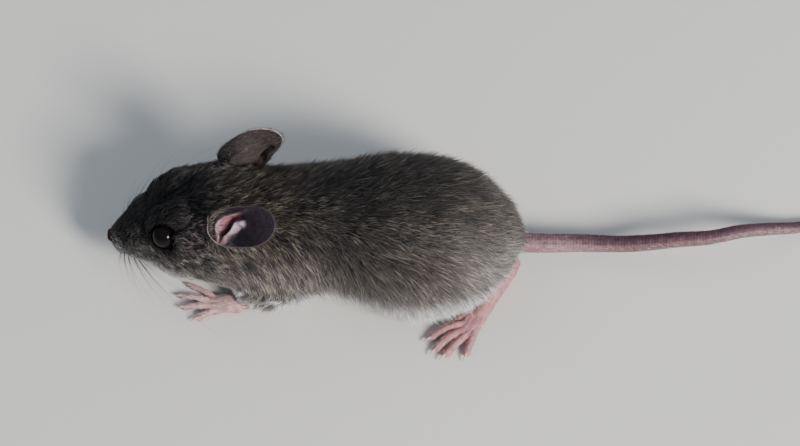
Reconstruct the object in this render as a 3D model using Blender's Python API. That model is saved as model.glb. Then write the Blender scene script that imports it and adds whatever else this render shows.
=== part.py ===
"""Young deer mouse crouching on the floor, life size, as a set of closed solids out to the tips of its coat.

The mouse faces -X, its left side is -Y and the floor is Z = 0. Sizes are in millimetres and are turned into
metres by MM. While it is being built the nose tip is at X = 0; at the end everything is shifted so that the
origin is on the floor under the middle of the whole animal.
"""

import math

import bmesh
import bpy
import numpy as np
from mathutils import Matrix, Vector

MM = 0.001

# ---- driving sizes ---------------------------------------------------------------------------------------
TAIL_LENGTH = 68.0
TAIL_ROOT_RADIUS = 1.55
TAIL_TIP_RADIUS = 0.5
EAR_WALL = 0.6
EAR_DEPTH = 2.3  # of its hollow
EYE_RADIUS = 2.05
CLAW_RADII = (0.3, 0.25, 0.1)  # at its root, middle and point
GAP = 0.3  # between two solids that meet

HEAD_ROLL = 10.0  # degrees, left side up
ROLL_AXIS_HEIGHT = 7.8
ROLL_FADE = (16.0, 32.0)

# ---- triangle budgets of the organic shapes --------------------------------------------------------------
BODY_FACES = 1500
FOOT_FACES = {"hind": 370, "fore": 310}

# ---- outline of head and trunk, from nose to tail root ---------------------------------------------------
# x along the body, then the coat's lowest, widest and highest level, its half width and its sideways shift.
SECTIONS = (
    # x,    low, wide, high,  half, shift
    (0.6, 5.3, 6.2, 7.2, 1.0, 0.0),
    (1.8, 4.3, 6.2, 8.5, 2.5, 0.0),
    (3.9, 3.6, 6.3, 10.4, 4.4, 0.1),
    (6.8, 3.2, 6.9, 12.8, 6.3, 0.2),
    (10.2, 2.9, 7.7, 15.5, 8.1, 0.2),
    (14.5, 2.6, 8.4, 18.0, 10.2, 0.1),
    (19.5, 2.5, 8.8, 19.9, 11.5, -0.5),
    (25.5, 2.4, 8.8, 20.8, 10.9, -1.2),
    (32.0, 2.0, 8.9, 21.9, 11.1, -1.7),
    (36.5, 1.8, 9.0, 22.9, 11.3, -1.8),
    (41.0, 1.6, 9.0, 23.8, 12.1, -2.3),
    (49.0, 1.2, 9.0, 24.8, 14.0, -2.9),
    (57.0, 1.3, 8.8, 23.3, 13.7, -2.7),
    (63.5, 1.9, 8.0, 18.4, 10.9, -2.0),
    (68.0, 2.7, 6.6, 11.8, 6.3, -1.1),
    (70.3, 4.0, 5.4, 7.4, 2.1, -0.3),
)


def clear_scene():
    for old in list(bpy.data.objects):
        bpy.data.objects.remove(old, do_unlink=True)


def material(name, colour, roughness, metallic=0.0):
    made = bpy.data.materials.new(name)
    made.use_nodes = True
    made.diffuse_color = (*colour, 1.0)
    shader = made.node_tree.nodes["Principled BSDF"]
    shader.inputs["Base Color"].default_value = (*colour, 1.0)
    shader.inputs["Roughness"].default_value = roughness
    shader.inputs["Metallic"].default_value = metallic
    return made


def smooth_through(knots, values, at):
    """Values of a smooth curve through the knots that never swings past them (monotone cubic)."""
    knots, values, at = (np.asarray(x, float) for x in (knots, values, at))
    step, rise = np.diff(knots), np.diff(values, axis=0)
    slope = rise / (step if values.ndim == 1 else step[:, None])
    tangent = np.zeros_like(values)
    tangent[0], tangent[-1] = slope[0], slope[-1]
    product = slope[:-1] * slope[1:]
    total = slope[:-1] + slope[1:]
    tangent[1:-1] = np.where(product > 0, 2 * product / np.where(total == 0, 1, total), 0)
    left = np.clip(np.searchsorted(knots, at) - 1, 0, len(knots) - 2)
    t = (at - knots[left]) / step[left]
    h = step[left]
    if values.ndim > 1:
        t, h = t[:, None], h[:, None]
    return (
        (2 * t**3 - 3 * t**2 + 1) * values[left]
        + (t**3 - 2 * t**2 + t) * h * tangent[left]
        + (3 * t**2 - 2 * t**3) * values[left + 1]
        + (t**3 - t**2) * h * tangent[left + 1]
    )


def new_object(name, bm):
    """Links a bmesh, made in millimetres, as an object in metres with its faces pointing out."""
    bmesh.ops.recalc_face_normals(bm, faces=bm.faces)
    bmesh.ops.scale(bm, vec=(MM, MM, MM), verts=bm.verts)
    mesh = bpy.data.meshes.new(name)
    bm.to_mesh(mesh)
    bm.free()
    made = bpy.data.objects.new(name, mesh)
    bpy.context.scene.collection.objects.link(made)
    return made


def add_loft(bm, rings):
    """Skins closed rings of equal count one after the other and caps both ends."""
    rows = [[bm.verts.new(p) for p in ring] for ring in rings]
    count = len(rows[0])
    for here, there in zip(rows, rows[1:]):
        for i in range(count):
            j = (i + 1) % count
            bm.faces.new((here[i], here[j], there[j], there[i]))
    bm.faces.new(rows[0])
    bm.faces.new(rows[-1])


def body_rings(rings=44, sides=36):
    table = np.array(SECTIONS)
    share = np.linspace(0, 1, rings)
    crowded = share + 0.35 * share * (1 - share) * (2 * share - 1)  # rings stand closer at both ends
    along = table[0, 0] + (table[-1, 0] - table[0, 0]) * crowded
    low, wide, high, half, shift = smooth_through(table[:, 0], table[:, 1:], along).T
    made = []
    for x, lo, mid, hi, a, dy in zip(along, low, wide, high, half, shift):
        ring = []
        for k in range(sides):
            turn = 2 * math.pi * k / sides
            rise = (hi - mid) if math.sin(turn) > 0 else (mid - lo)
            ring.append((x, dy + a * math.cos(turn), mid + rise * math.sin(turn)))
        made.append(ring)
    return made


def add_tube(bm, points, radii, sides=12, flatten=1.0):
    """A tube through the points, with round ends; flatten squashes it in Z."""
    points = [Vector(p) for p in points]
    rings = []
    for i, (centre, radius) in enumerate(zip(points, radii)):
        ahead = (points[min(i + 1, len(points) - 1)] - points[max(i - 1, 0)]).normalized()
        side = ahead.cross(Vector((0, 0, 1))).normalized()
        if side.length < 0.5:
            side = Vector((0, 1, 0))
        up = side.cross(ahead).normalized()
        rings.append((centre, radius, ahead, side, up))
    first, last = rings[0], rings[-1]
    ends = []
    for (centre, radius, ahead, side, up), sign in ((first, -1), (last, 1)):
        ends.append([(centre + ahead * sign * radius * math.sin(b), radius * math.cos(b), ahead, side, up)
                     for b in (math.radians(35), math.radians(68))])
    rings = ends[0][::-1] + rings + ends[1]
    turns = [2 * math.pi * k / sides for k in range(sides)]
    add_loft(bm, [
        [centre + radius * (side * math.cos(turn) + up * (flatten * math.sin(turn))) for turn in turns]
        for centre, radius, ahead, side, up in rings
    ])


def add_ellipsoid(bm, centre, radii, turn_z=0.0, turn_y=0.0, fine=3):
    place = (Matrix.Translation(Vector(centre)) @ Matrix.Rotation(math.radians(turn_z), 4, "Z")
             @ Matrix.Rotation(math.radians(turn_y), 4, "Y") @ Matrix.Diagonal((*radii, 1.0)))
    bmesh.ops.create_icosphere(bm, subdivisions=fine, radius=1.0, matrix=place)


# ---- mesh tools ------------------------------------------------------------------------------------------
def apply_modifiers(obj):
    graph = bpy.context.evaluated_depsgraph_get()
    done = bpy.data.meshes.new_from_object(obj.evaluated_get(graph))
    obj.modifiers.clear()
    obj.data = done
    return obj


def copy_of(obj, name):
    made = obj.copy()
    made.data = obj.data.copy()
    made.name = name
    bpy.context.scene.collection.objects.link(made)
    return made


def discard(*objects):
    for obj in objects:
        bpy.data.objects.remove(obj, do_unlink=True)


def grow_together(obj, voxel, smoothing, faces):
    """Melts the overlapping closed shapes of an object into one body with soft joins and few triangles."""
    remesh = obj.modifiers.new("one body", "REMESH")
    remesh.mode = "VOXEL"
    remesh.voxel_size = voxel * MM
    soften = obj.modifiers.new("soft joins", "SMOOTH")
    soften.factor = 0.5
    soften.iterations = smoothing
    apply_modifiers(obj)
    corners = obj.modifiers.new("triangles", "TRIANGULATE")
    corners.quad_method = "BEAUTY"
    apply_modifiers(obj)
    fewer = obj.modifiers.new("fewer faces", "DECIMATE")
    fewer.ratio = min(1.0, faces / len(obj.data.polygons))
    return apply_modifiers(obj)


def boolean(obj, other, operation):
    step = obj.modifiers.new("boolean", "BOOLEAN")
    step.operation = operation
    step.solver = "EXACT"
    step.object = other
    return apply_modifiers(obj)


def fattened(obj, by):
    """A copy whose surface lies that much further out."""
    made = copy_of(obj, obj.name + "_fat")
    swell = made.modifiers.new("swell", "DISPLACE")
    swell.direction = "NORMAL"
    swell.mid_level = 0.0
    swell.strength = by * MM
    return apply_modifiers(made)


def keep_side(obj, point, normal):
    """Cuts an object with a plane and keeps the side that the normal points to, closed with a cap."""
    bm = bmesh.new()
    bm.from_mesh(obj.data)
    cut = bmesh.ops.bisect_plane(
        bm, geom=bm.verts[:] + bm.edges[:] + bm.faces[:], dist=1e-7,
        plane_co=Vector(point) * MM, plane_no=Vector(normal), clear_inner=True)
    rim = [e for e in cut["geom_cut"] if isinstance(e, bmesh.types.BMEdge) and e.is_boundary]
    caps = bmesh.ops.holes_fill(bm, edges=rim, sides=0)["faces"]
    bmesh.ops.triangulate(bm, faces=caps)
    bmesh.ops.recalc_face_normals(bm, faces=bm.faces)
    bm.to_mesh(obj.data)
    bm.free()
    return obj


def largest_body(obj):
    """Drops the crumbs that a Boolean can leave beside the piece, and its cuts across flat faces."""
    bm = bmesh.new()
    bm.from_mesh(obj.data)
    bmesh.ops.dissolve_limit(bm, angle_limit=math.radians(1.5), verts=bm.verts, edges=bm.edges)
    left, bodies = set(bm.verts), []
    while left:
        seen, edge = set(), [left.pop()]
        while edge:
            vert = edge.pop()
            if vert not in seen:
                seen.add(vert)
                edge += [e.other_vert(vert) for e in vert.link_edges]
        left -= seen
        bodies.append(seen)
    bodies.sort(key=len)
    for body in bodies[:-1]:
        bmesh.ops.delete(bm, geom=list(body), context="VERTS")
    bm.to_mesh(obj.data)
    bm.free()
    return obj


# ---- head, trunk and upper legs as one mass --------------------------------------------------------------
# Each side is -1 for left and 1 for right. Joints of the legs, as points.
SHOULDER = {-1: (32.0, -8.4, 10.0), 1: (31.5, 5.6, 10.0)}
ELBOW = {-1: (32.5, -10.1, 4.6), 1: (33.6, 6.8, 4.4)}
WRIST = {-1: (23.0, -10.6, 1.75), 1: (22.0, 6.4, 1.75)}
HIP = {-1: (57.5, -8.0, 13.0), 1: (58.0, 3.5, 13.0)}
KNEE = {-1: (50.5, -13.2, 6.6), 1: (51.0, 8.2, 6.4)}
ANKLE = {-1: (65.6, -5.2, 4.2), 1: (66.0, 3.8, 4.2)}
SIDE_NAME = {-1: "left", 1: "right"}
# the root of the ear on the low side of the head
EAR_ROOT = ((19.3, 3.6, 13.4), (20.4, 5.6, 15.6), (21.2, 6.9, 17.0))
SOLE = 0.35  # how far the fur of the belly and legs stays above the floor


def rolled(point):
    """Tips the head a little to its right, fading out over the neck."""
    x, y, z = point
    fade = 1 - min(1.0, max(0.0, (x - ROLL_FADE[0]) / (ROLL_FADE[1] - ROLL_FADE[0])))
    turn = -math.radians(HEAD_ROLL) * fade
    z -= ROLL_AXIS_HEIGHT
    return Vector((x, y * math.cos(turn) - z * math.sin(turn),
                   y * math.sin(turn) + z * math.cos(turn) + ROLL_AXIS_HEIGHT))


def body_mass():
    """The outline of coat from nose to tail root, with cheeks, shoulders, thighs and sleeves of fur."""
    bm = bmesh.new()
    add_loft(bm, body_rings())
    for side in (-1, 1):
        add_ellipsoid(bm, (4.2, side * 2.3, 6.0), (2.9, 2.1, 2.2), turn_z=side * 24)  # whisker pad
        add_ellipsoid(bm, (13.5, side * 5.6, 7.3), (6.0, 3.8, 4.6), turn_z=side * 22)  # cheek
        add_ellipsoid(bm, (10.8, side * 4.6, 11.8), (3.9, 2.1, 2.2), turn_z=side * 28)  # brow
        add_ellipsoid(bm, (14.0, side * 6.9, 13.3), (3.2, 2.2, 2.2), turn_z=side * 24)  # temple
        add_ellipsoid(bm, (6.9, side * 4.2, 9.8), (3.0, 1.9, 1.9), turn_z=side * 28)  # side of the snout
    for vert in bm.verts:
        vert.co = rolled(vert.co)
    add_tube(bm, EAR_ROOT, (2.9, 2.5, 1.9))
    for side in (-1, 1):
        shoulder, elbow, wrist = Vector(SHOULDER[side]), Vector(ELBOW[side]), Vector(WRIST[side])
        knee, ankle = Vector(KNEE[side]), Vector(ANKLE[side])
        add_ellipsoid(bm, shoulder + Vector((0, 0, -1.5)), (6.4, 4.6, 7.4), turn_z=side * 10)
        add_tube(bm, [elbow, elbow.lerp(wrist, 0.55), wrist], (2.8, 2.0, 1.35))
        ruff = wrist + Vector((2.6, -side * 3.0, 3.2))  # fur between the throat and the wrist
        add_ellipsoid(bm, ruff, (5.2, 4.1, 3.7))
        thigh = Vector(HIP[side]).lerp(knee, 0.55)
        add_ellipsoid(bm, thigh + Vector((0, -side * 0.1, -0.8)), (9.2, 5.2, 7.6), turn_z=side * -12)
        add_tube(bm, [knee, knee.lerp(ankle, 0.5), ankle], (3.8, 3.0, 1.7))
    made = new_object("mass", bm)
    grow_together(made, 0.55, 5, BODY_FACES)
    return keep_side(made, (0, 0, SOLE), (0, 0, 1))


# ---- feet ------------------------------------------------------------------------------------------------
# A foot is laid out flat: u runs forward from the wrist or heel, v towards the animal's middle line,
# and the sole lies on the floor. Each toe is (root, knuckle, tip, thickness at the root), in (u, v, height).
HIND_TOES = (
    ((10.4, 0.9, 1.1), (12.6, 1.9, 1.25), (14.4, 2.8, 0.55), 0.62),
    ((14.2, 1.1, 1.2), (16.0, 3.2, 1.55), (18.9, 4.6, 0.5), 0.66),
    ((15.2, 0.45, 1.25), (17.6, 2.2, 1.65), (20.4, 2.85, 0.5), 0.68),
    ((15.4, -0.35, 1.25), (17.8, 0.25, 1.6), (20.4, 0.95, 0.5), 0.68),
    ((14.4, -1.0, 1.15), (16.6, -1.6, 1.45), (18.5, -1.85, 0.5), 0.62),
)
FORE_TOES = (
    ((4.0, 1.0, 0.95), (6.4, 2.7, 1.15), (8.4, 3.6, 0.45), 0.52),
    ((4.8, 0.5, 1.0), (7.6, 1.2, 1.3), (9.8, 1.6, 0.45), 0.55),
    ((4.8, -0.4, 1.0), (7.4, -0.5, 1.3), (9.3, -0.5, 0.45), 0.55),
    ((3.9, -1.0, 0.95), (5.6, -1.9, 1.15), (6.9, -2.5, 0.45), 0.52),
)
CLAW_LENGTH = {"hind": 1.5, "fore": 1.2}


def along_toe(toe, share):
    """A point on the gentle arch of a toe; share runs from 0 at its root to 1 at its tip."""
    root, knuckle, tip = (Vector(p) for p in toe[:3])
    return (1 - share) ** 2 * root + 2 * share * (1 - share) * knuckle + share**2 * tip


class Foot:
    """Where a foot stands, which way it points, and how its flat layout turns into places in space."""

    def __init__(self, kind, side, heel, forward):
        self.kind = kind
        self.side = side
        self.name = ("forefoot_" if kind == "fore" else "hind_foot_") + SIDE_NAME[side]
        self.heel = Vector(heel)
        self.forward = Vector((*forward, 0)).normalized()
        self.inward = Vector((0, 0, side)).cross(self.forward)
        self.toes = HIND_TOES if kind == "hind" else FORE_TOES

    def place(self, point):
        u, v, height = point
        return self.heel + self.forward * u + self.inward * v + Vector((0, 0, height))


FEET = (
    Foot("hind", -1, (68.7, -3.0, 0), (-0.515, -0.857)),
    Foot("hind", 1, (68.6, 1.6, 0), (-0.72, 0.62)),
    Foot("fore", -1, (23.0, -10.9, 0), (-1.0, 0.04)),
    Foot("fore", 1, (22.3, 6.4, 0), (-0.97, 0.12)),
)


def foot_solid(foot, mass_fat):
    bm = bmesh.new()
    if foot.kind == "hind":
        bones = [(0.0, -0.2, 1.45), (2.0, -0.3, 1.5), (6.0, -0.4, 1.45), (10.0, -0.2, 1.35),
                 (14.6, 0.1, 1.2)]
        add_tube(bm, [foot.place(p) for p in bones], (1.25, 1.4, 1.4, 1.45, 1.6), flatten=0.8)
        add_ellipsoid(bm, foot.place((13.6, 0.2, 1.0)), (2.0, 1.7, 1.0), fine=2)
        shin = Vector(ANKLE[foot.side]) + Vector((-1.6, -0.4, 0.6))
        add_tube(bm, [foot.place((0.4, 0, 1.5)), foot.place((1.2, 0, 2.6)), shin], (1.1, 1.25, 1.5))
    else:
        bones = [(-1.6, 0, 1.75), (0.6, 0, 1.4), (2.4, 0, 1.15), (4.4, 0.1, 1.0)]
        add_tube(bm, [foot.place(p) for p in bones], (1.05, 1.25, 1.6, 1.65), flatten=0.72)
    for toe in foot.toes:
        thick = toe[3]
        add_tube(bm, [foot.place(along_toe(toe, share)) for share in (0, 0.33, 0.66, 1)],
                 (thick, thick * 0.9, thick * 0.85, thick * 0.85), sides=10)
    made = new_object(foot.name, bm)
    grow_together(made, 0.24, 3, FOOT_FACES[foot.kind])
    keep_side(made, (0, 0, 0), (0, 0, 1))
    boolean(made, mass_fat, "DIFFERENCE")
    return largest_body(made)


def claw_solid(foot, number, toe):
    """A small curved cone in front of a toe tip, its point resting near the floor."""
    tip = foot.place(toe[2])
    back = foot.place(along_toe(toe, 0.8))
    ahead = (tip - back).normalized()
    ahead.z = 0
    ahead.normalize()
    start = tip + ahead * (toe[3] * 0.85 + GAP * 0.7) + Vector((0, 0, 0.42))
    length = CLAW_LENGTH[foot.kind] * 0.6
    side = ahead.cross(Vector((0, 0, 1)))
    rings = []
    for share, radius in zip((0, 0.5, 1.0), CLAW_RADII):
        centre = start + ahead * (length * share) + Vector((0, 0, -0.45 * share**2))
        rings.append([centre + radius * (side * math.cos(a) + Vector((0, 0, 1)) * math.sin(a))
                      for a in (2 * math.pi * k / 5 for k in range(5))])
    bm = bmesh.new()
    add_loft(bm, rings)
    return new_object(f"claw_{foot.kind}_{SIDE_NAME[foot.side]}_{number}", bm)


# ---- ears ------------------------------------------------------------------------------------------------
EAR_BASE = {-1: (18.6, -6.6, 17.6), 1: (19.4, 8.2, 16.0)}
# base to tip, across the ear, and out of its hollow side
EAR_AXES = {
    -1: ((0.86, -0.12, 0.49), (-0.15, 0.89, 0.41)),
    1: ((0.82, 0.10, 0.46), (-0.48, 0.1, 0.87)),
}
EAR_MIDDLE = (5.2, -0.4)
EAR_RIM = {  # along and across from the base, from the tip round by the upper edge
    -1: ((12.9, -0.6), (12.3, 0.8), (10.9, 1.9), (9.5, 2.55), (8.0, 2.85), (6.3, 3.0), (4.3, 3.15),
         (2.4, 3.0), (0.9, 2.4), (-0.2, 1.5), (-0.6, 0.5), (-0.3, -0.7), (0.6, -1.9), (1.8, -2.6),
         (3.0, -2.95), (4.4, -3.3), (6.1, -3.6), (8.0, -3.75), (9.6, -3.55), (10.9, -3.1), (12.3, -2.0)),
    1: ((12.6, -0.8), (12.1, 1.0), (11.0, 2.5), (9.9, 3.3), (8.2, 3.85), (6.9, 3.8), (5.7, 3.65),
        (4.4, 3.35), (3.2, 2.9), (2.0, 2.25), (1.0, 1.55), (0.1, 0.8), (-0.3, -0.2), (-0.2, -1.2),
        (1.0, -2.6), (3.0, -3.9), (4.5, -4.7), (5.9, -5.0), (7.0, -4.4), (8.6, -3.2), (10.5, -2.4)),
}


def ear_point(side, inward, turn):
    """A point of the ear's middle sheet; inward runs from 0 in its middle to 1 on its rim."""
    along, across = (Vector(a).normalized() for a in EAR_AXES[side])
    out = along.cross(across).normalized() * -side
    rim = np.array(EAR_RIM[side]) - EAR_MIDDLE
    radius = np.interp(turn, np.arctan2(rim[:, 1], rim[:, 0]), np.hypot(*rim.T), period=2 * math.pi)
    reach = EAR_MIDDLE[0] + math.cos(turn) * inward * radius
    aside = EAR_MIDDLE[1] + math.sin(turn) * inward * radius
    hollow = EAR_DEPTH * math.exp(-(((reach - 3.2) / 4.8) ** 2)) * (1 - inward**3)
    return Vector(EAR_BASE[side]) + along * reach + across * aside - out * hollow


def ear_solid(side, mass_fat):
    """A shallow cup of even wall, cut off where its back sinks into the fur of the head."""
    spokes = 18
    bm = bmesh.new()
    centre = bm.verts.new(ear_point(side, 0, 0))
    rings = [[bm.verts.new(ear_point(side, inward, 2 * math.pi * k / spokes)) for k in range(spokes)]
             for inward in (0.3, 0.55, 0.78, 0.92, 1.0)]
    for k in range(spokes):
        after = (k + 1) % spokes
        bm.faces.new((centre, rings[0][k], rings[0][after]))
        for inner, outer in zip(rings, rings[1:]):
            bm.faces.new((inner[k], outer[k], outer[after], inner[after]))
    made = new_object(f"ear_{SIDE_NAME[side]}", bm)
    wall = made.modifiers.new("wall", "SOLIDIFY")
    wall.thickness = EAR_WALL * MM
    wall.offset = 0.0
    apply_modifiers(made)
    boolean(made, mass_fat, "DIFFERENCE")
    return largest_body(made)


# ---- tail ------------------------------------------------------------------------------------------------
TAIL_ROUTE = (
    (68.0, -1.1, 5.6), (72.0, -0.9, 4.6), (79.6, -0.2, 3.5), (86.2, -0.6, 3.8), (92.7, -0.9, 5.0),
    (99.1, -0.9, 6.0), (105.7, 0.3, 6.0), (112.2, 2.6, 3.5), (117.3, 4.3, 1.3), (123.0, 5.6, 0.85),
    (129.5, 7.0, 0.62), (136.0, 7.4, 0.5),
)
TAIL_PIECES = 4


def tail_point(share):
    route = np.array(TAIL_ROUTE)
    length = np.concatenate([[0], np.cumsum(np.linalg.norm(np.diff(route, axis=0), axis=1))])
    return Vector(smooth_through(length / length[-1], route, [share])[0])


def tail_radius(share):
    return TAIL_TIP_RADIUS + (TAIL_ROOT_RADIUS - TAIL_TIP_RADIUS) * (1 - share) ** 0.9


def tail_solids(mass_fat):
    made = []
    steps, sides = 10, 9
    trim = GAP / TAIL_LENGTH / 2
    for piece in range(TAIL_PIECES):
        first = piece / TAIL_PIECES + (trim if piece else 0)
        last = (piece + 1) / TAIL_PIECES - (trim if piece < TAIL_PIECES - 1 else 0.004)
        rings = []
        for k in range(steps + 1):
            share = first + (last - first) * k / steps
            centre, radius = tail_point(share), tail_radius(share)
            ahead = (tail_point(min(1, share + 0.01)) - tail_point(max(0, share - 0.01))).normalized()
            side = ahead.cross(Vector((0, 0, 1))).normalized()
            up = side.cross(ahead)
            rings.append([centre + radius * (side * math.cos(a) + up * math.sin(a))
                          for a in (2 * math.pi * j / sides for j in range(sides))])
        bm = bmesh.new()
        add_loft(bm, rings)
        made.append(new_object(f"tail_{piece + 1}", bm))
    boolean(made[0], mass_fat, "DIFFERENCE")
    largest_body(made[0])
    return made


# ---- eyes and nose ---------------------------------------------------------------------------------------
EYE_CENTRE = {side: rolled((10.7, side * 5.7, 12.4)) for side in (-1, 1)}


def ball(name, centre, radius, fine=3):
    bm = bmesh.new()
    add_ellipsoid(bm, centre, (radius,) * 3, fine=fine)
    return new_object(name, bm)


# ---- parting the mass into named pieces ------------------------------------------------------------------
def tube_cutter(points, radii):
    bm = bmesh.new()
    add_tube(bm, points, radii, sides=14)
    return new_object("cutter", bm)


def ball_cutter(centre, radii):
    bm = bmesh.new()
    add_ellipsoid(bm, centre, radii, fine=2)
    return new_object("cutter", bm)


def split_off(mass, cutter, name):
    """Moves what lies inside the cutter into a piece of its own and leaves a gap around it."""
    piece = copy_of(mass, name)
    boolean(piece, cutter, "INTERSECT")
    largest_body(piece)
    gap = fattened(cutter, GAP)
    boolean(mass, gap, "DIFFERENCE")
    largest_body(mass)
    discard(gap, cutter)
    return piece


def part_limbs(mass):
    pieces = []
    for side in (-1, 1):
        name = SIDE_NAME[side]
        shoulder, elbow, wrist = Vector(SHOULDER[side]), Vector(ELBOW[side]), Vector(WRIST[side])
        hip, knee, ankle = Vector(HIP[side]), Vector(KNEE[side]), Vector(ANKLE[side])
        forearm = [elbow + Vector((0.5, 0, -0.2)), elbow.lerp(wrist, 0.5), wrist + Vector((-1.5, 0, -0.2))]
        pieces.append(split_off(mass, tube_cutter(forearm, (4.1, 3.2, 2.4)), "forearm_" + name))
        upper_arm = shoulder + Vector((0.8, side * 2.6, -1.6))
        pieces.append(split_off(mass, ball_cutter(upper_arm, (6.6, 4.6, 7.6)), "upper_arm_" + name))
        shank = [knee.lerp(ankle, 0.12) + Vector((0, 0, -2.2)),
                 knee.lerp(ankle, 0.5) + Vector((0, side * 0.4, -1.6)),
                 ankle + Vector((1.0, side * 0.3, -1.2))]
        pieces.append(split_off(mass, tube_cutter(shank, (4.4, 4.0, 3.2)), "shank_" + name))
        thigh = hip.lerp(knee, 0.5) + Vector((0.5, side * 3.2, -0.6))
        pieces.append(split_off(mass, ball_cutter(thigh, (9.6, 5.6, 8.6)), "thigh_" + name))
    return pieces


# plane point and the direction towards the tail, from nose to rump
TRUNK_CUTS = (
    ("nose", (2.3, 0, 6.0), (0.94, 0, -0.34)),
    ("head", (24.0, 0, 10.0), (0.96, 0, 0.28)),
    ("neck", (30.5, 0, 10.0), (0.98, 0, 0.2)),
    ("chest", (42.5, 0, 10.0), (1, 0, 0)),
    ("belly", (54.5, 0, 10.0), (1, 0, 0)),
)


def part_trunk(mass):
    pieces = []
    rest = mass
    for name, point, tailward in TRUNK_CUTS:
        normal = Vector(tailward).normalized()
        front = copy_of(rest, name)
        keep_side(front, Vector(point) - normal * GAP / 2, -normal)
        pieces.append(largest_body(front))
        keep_side(rest, Vector(point) + normal * GAP / 2, normal)
        largest_body(rest)
    rest.name = "rump"
    pieces.append(rest)
    return pieces


# ---- the whole animal ------------------------------------------------------------------------------------
def finish(pieces):
    """Gives every piece its material and moves the origin to the floor under the middle of the animal."""
    coat = material("grey-brown coat", (0.17, 0.13, 0.1), 0.85)
    pale = material("white belly coat", (0.62, 0.58, 0.53), 0.85)
    skin = material("pink skin", (0.66, 0.36, 0.32), 0.6)
    dusk = material("dusky ear skin", (0.2, 0.13, 0.12), 0.65)
    eye = material("black eye", (0.01, 0.008, 0.008), 0.05)
    horn = material("pale claw", (0.7, 0.6, 0.52), 0.4)
    kinds = (("forearm", pale), ("shank", pale), ("lower_jaw", pale), ("nose", skin), ("forefoot", skin),
             ("hind_foot", skin), ("tail", skin), ("ear", dusk), ("eye", eye), ("claw", horn))
    corners = np.concatenate([[v.co[:] for v in obj.data.vertices] for obj in pieces])
    low, high = corners.min(axis=0), corners.max(axis=0)
    shift = Matrix.Translation((-(low[0] + high[0]) / 2, -(low[1] + high[1]) / 2, -low[2]))
    for obj in pieces:
        obj.data.transform(shift)
        obj.data.materials.clear()
        obj.data.materials.append(next((kind for start, kind in kinds if obj.name.startswith(start)), coat))
        obj.data.shade_smooth()
        obj.data.set_sharp_from_angle(angle=math.radians(40))


def build():
    clear_scene()
    mass = body_mass()
    mass_fat = fattened(mass, GAP)
    pieces = [ear_solid(side, mass_fat) for side in (-1, 1)]
    pieces += tail_solids(mass_fat)
    for foot in FEET:
        pieces.append(foot_solid(foot, mass_fat))
        pieces += [claw_solid(foot, number + 1, toe) for number, toe in enumerate(foot.toes)]
    discard(mass_fat)
    for side in (-1, 1):
        pieces.append(ball("eye_" + SIDE_NAME[side], EYE_CENTRE[side], EYE_RADIUS))
        socket = ball("socket", EYE_CENTRE[side], EYE_RADIUS + 1.5 * GAP, fine=2)
        boolean(mass, socket, "DIFFERENCE")
        discard(socket)
    pieces += part_limbs(mass)
    pieces.append(split_off(mass, ball_cutter((9.6, 0.1, 1.9), (6.6, 3.0, 2.9)), "lower_jaw"))
    pieces += part_trunk(mass)
    finish(pieces)


build()
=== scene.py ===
"""A young deer mouse, life size, crouching with its tail laid out behind it, as a still museum model.

It faces -X. Its left side is -Y and it stands on Z = 0. Lengths below are in millimetres, and points are
counted from HOME, the point of the floor under the tip of the nose, on the line of the spine."""

import math

import bmesh
import bpy
import numpy as np
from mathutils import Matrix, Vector
from mathutils.bvhtree import BVHTree
from mathutils.kdtree import KDTree


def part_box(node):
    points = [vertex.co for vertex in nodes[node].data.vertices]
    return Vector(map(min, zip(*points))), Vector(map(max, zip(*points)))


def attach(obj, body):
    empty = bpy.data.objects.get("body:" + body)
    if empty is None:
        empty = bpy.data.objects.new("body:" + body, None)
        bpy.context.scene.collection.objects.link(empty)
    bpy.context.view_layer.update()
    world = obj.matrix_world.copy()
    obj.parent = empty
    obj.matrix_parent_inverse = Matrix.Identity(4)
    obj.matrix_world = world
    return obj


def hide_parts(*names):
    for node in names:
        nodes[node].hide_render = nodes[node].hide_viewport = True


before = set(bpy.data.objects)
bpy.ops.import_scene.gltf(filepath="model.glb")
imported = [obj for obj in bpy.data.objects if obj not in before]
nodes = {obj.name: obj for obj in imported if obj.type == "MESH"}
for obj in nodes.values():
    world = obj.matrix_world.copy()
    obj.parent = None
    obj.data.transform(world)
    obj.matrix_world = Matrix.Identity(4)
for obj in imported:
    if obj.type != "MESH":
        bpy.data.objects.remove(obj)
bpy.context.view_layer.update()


# ---- The body under its coat ---------------------------------------------------------
# The flesh of head, neck, trunk and legs, as it would be with the fur clipped. It is worked from the
# solids, which reach to the tips of the coat, by closing the cuts between them and taking the coat off.

MM = 0.001
BETWEEN_EYES = Vector((10.7, 0.8, 12.33))  # from HOME
FURRED = ("nose", "head", "lower_jaw", "neck", "chest", "belly", "rump")
LEGS = ("upper_arm", "forearm", "thigh", "shank")
FEET = ("forefoot", "hind_foot")
SIDES = {"left": -1, "right": 1}
CUT = 0.3  # the gap between two solids
SWELL = CUT * 0.7  # closes the cuts
COARSE, FINE = 0.45, 0.2  # voxels

eyes = {side: sum(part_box(f"eye_{side}"), Vector()) / 2 for side in SIDES}
HOME = np.array((eyes["left"] + eyes["right"]) / 2 - BETWEEN_EYES * MM)
sided = [f"{part}_{side}" for part in LEGS for side in SIDES]
furred_nodes = list(FURRED) + sided
foot_nodes = [f"{part}_{side}" for part in FEET for side in SIDES]
tail_nodes = sorted(name for name in nodes if name.startswith("tail_"))


def in_mm(points):
    """Points of the frame, in metres, as millimetres from HOME."""
    return (np.asarray(points, float) - HOME) / MM


def in_frame(points):
    """Points in millimetres from HOME, as the frame's metres."""
    return np.asarray(points, float) * MM + HOME


def step(value, low, high):
    """0 below low, 1 above high, with a soft slope between them."""
    t = np.clip((value - low) / (high - low), 0, 1)
    return t * t * (3 - 2 * t)


def fade(value, low, high):
    """1 below low, 0 above high, with a soft slope between them."""
    return 1 - step(value, low, high)


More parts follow.
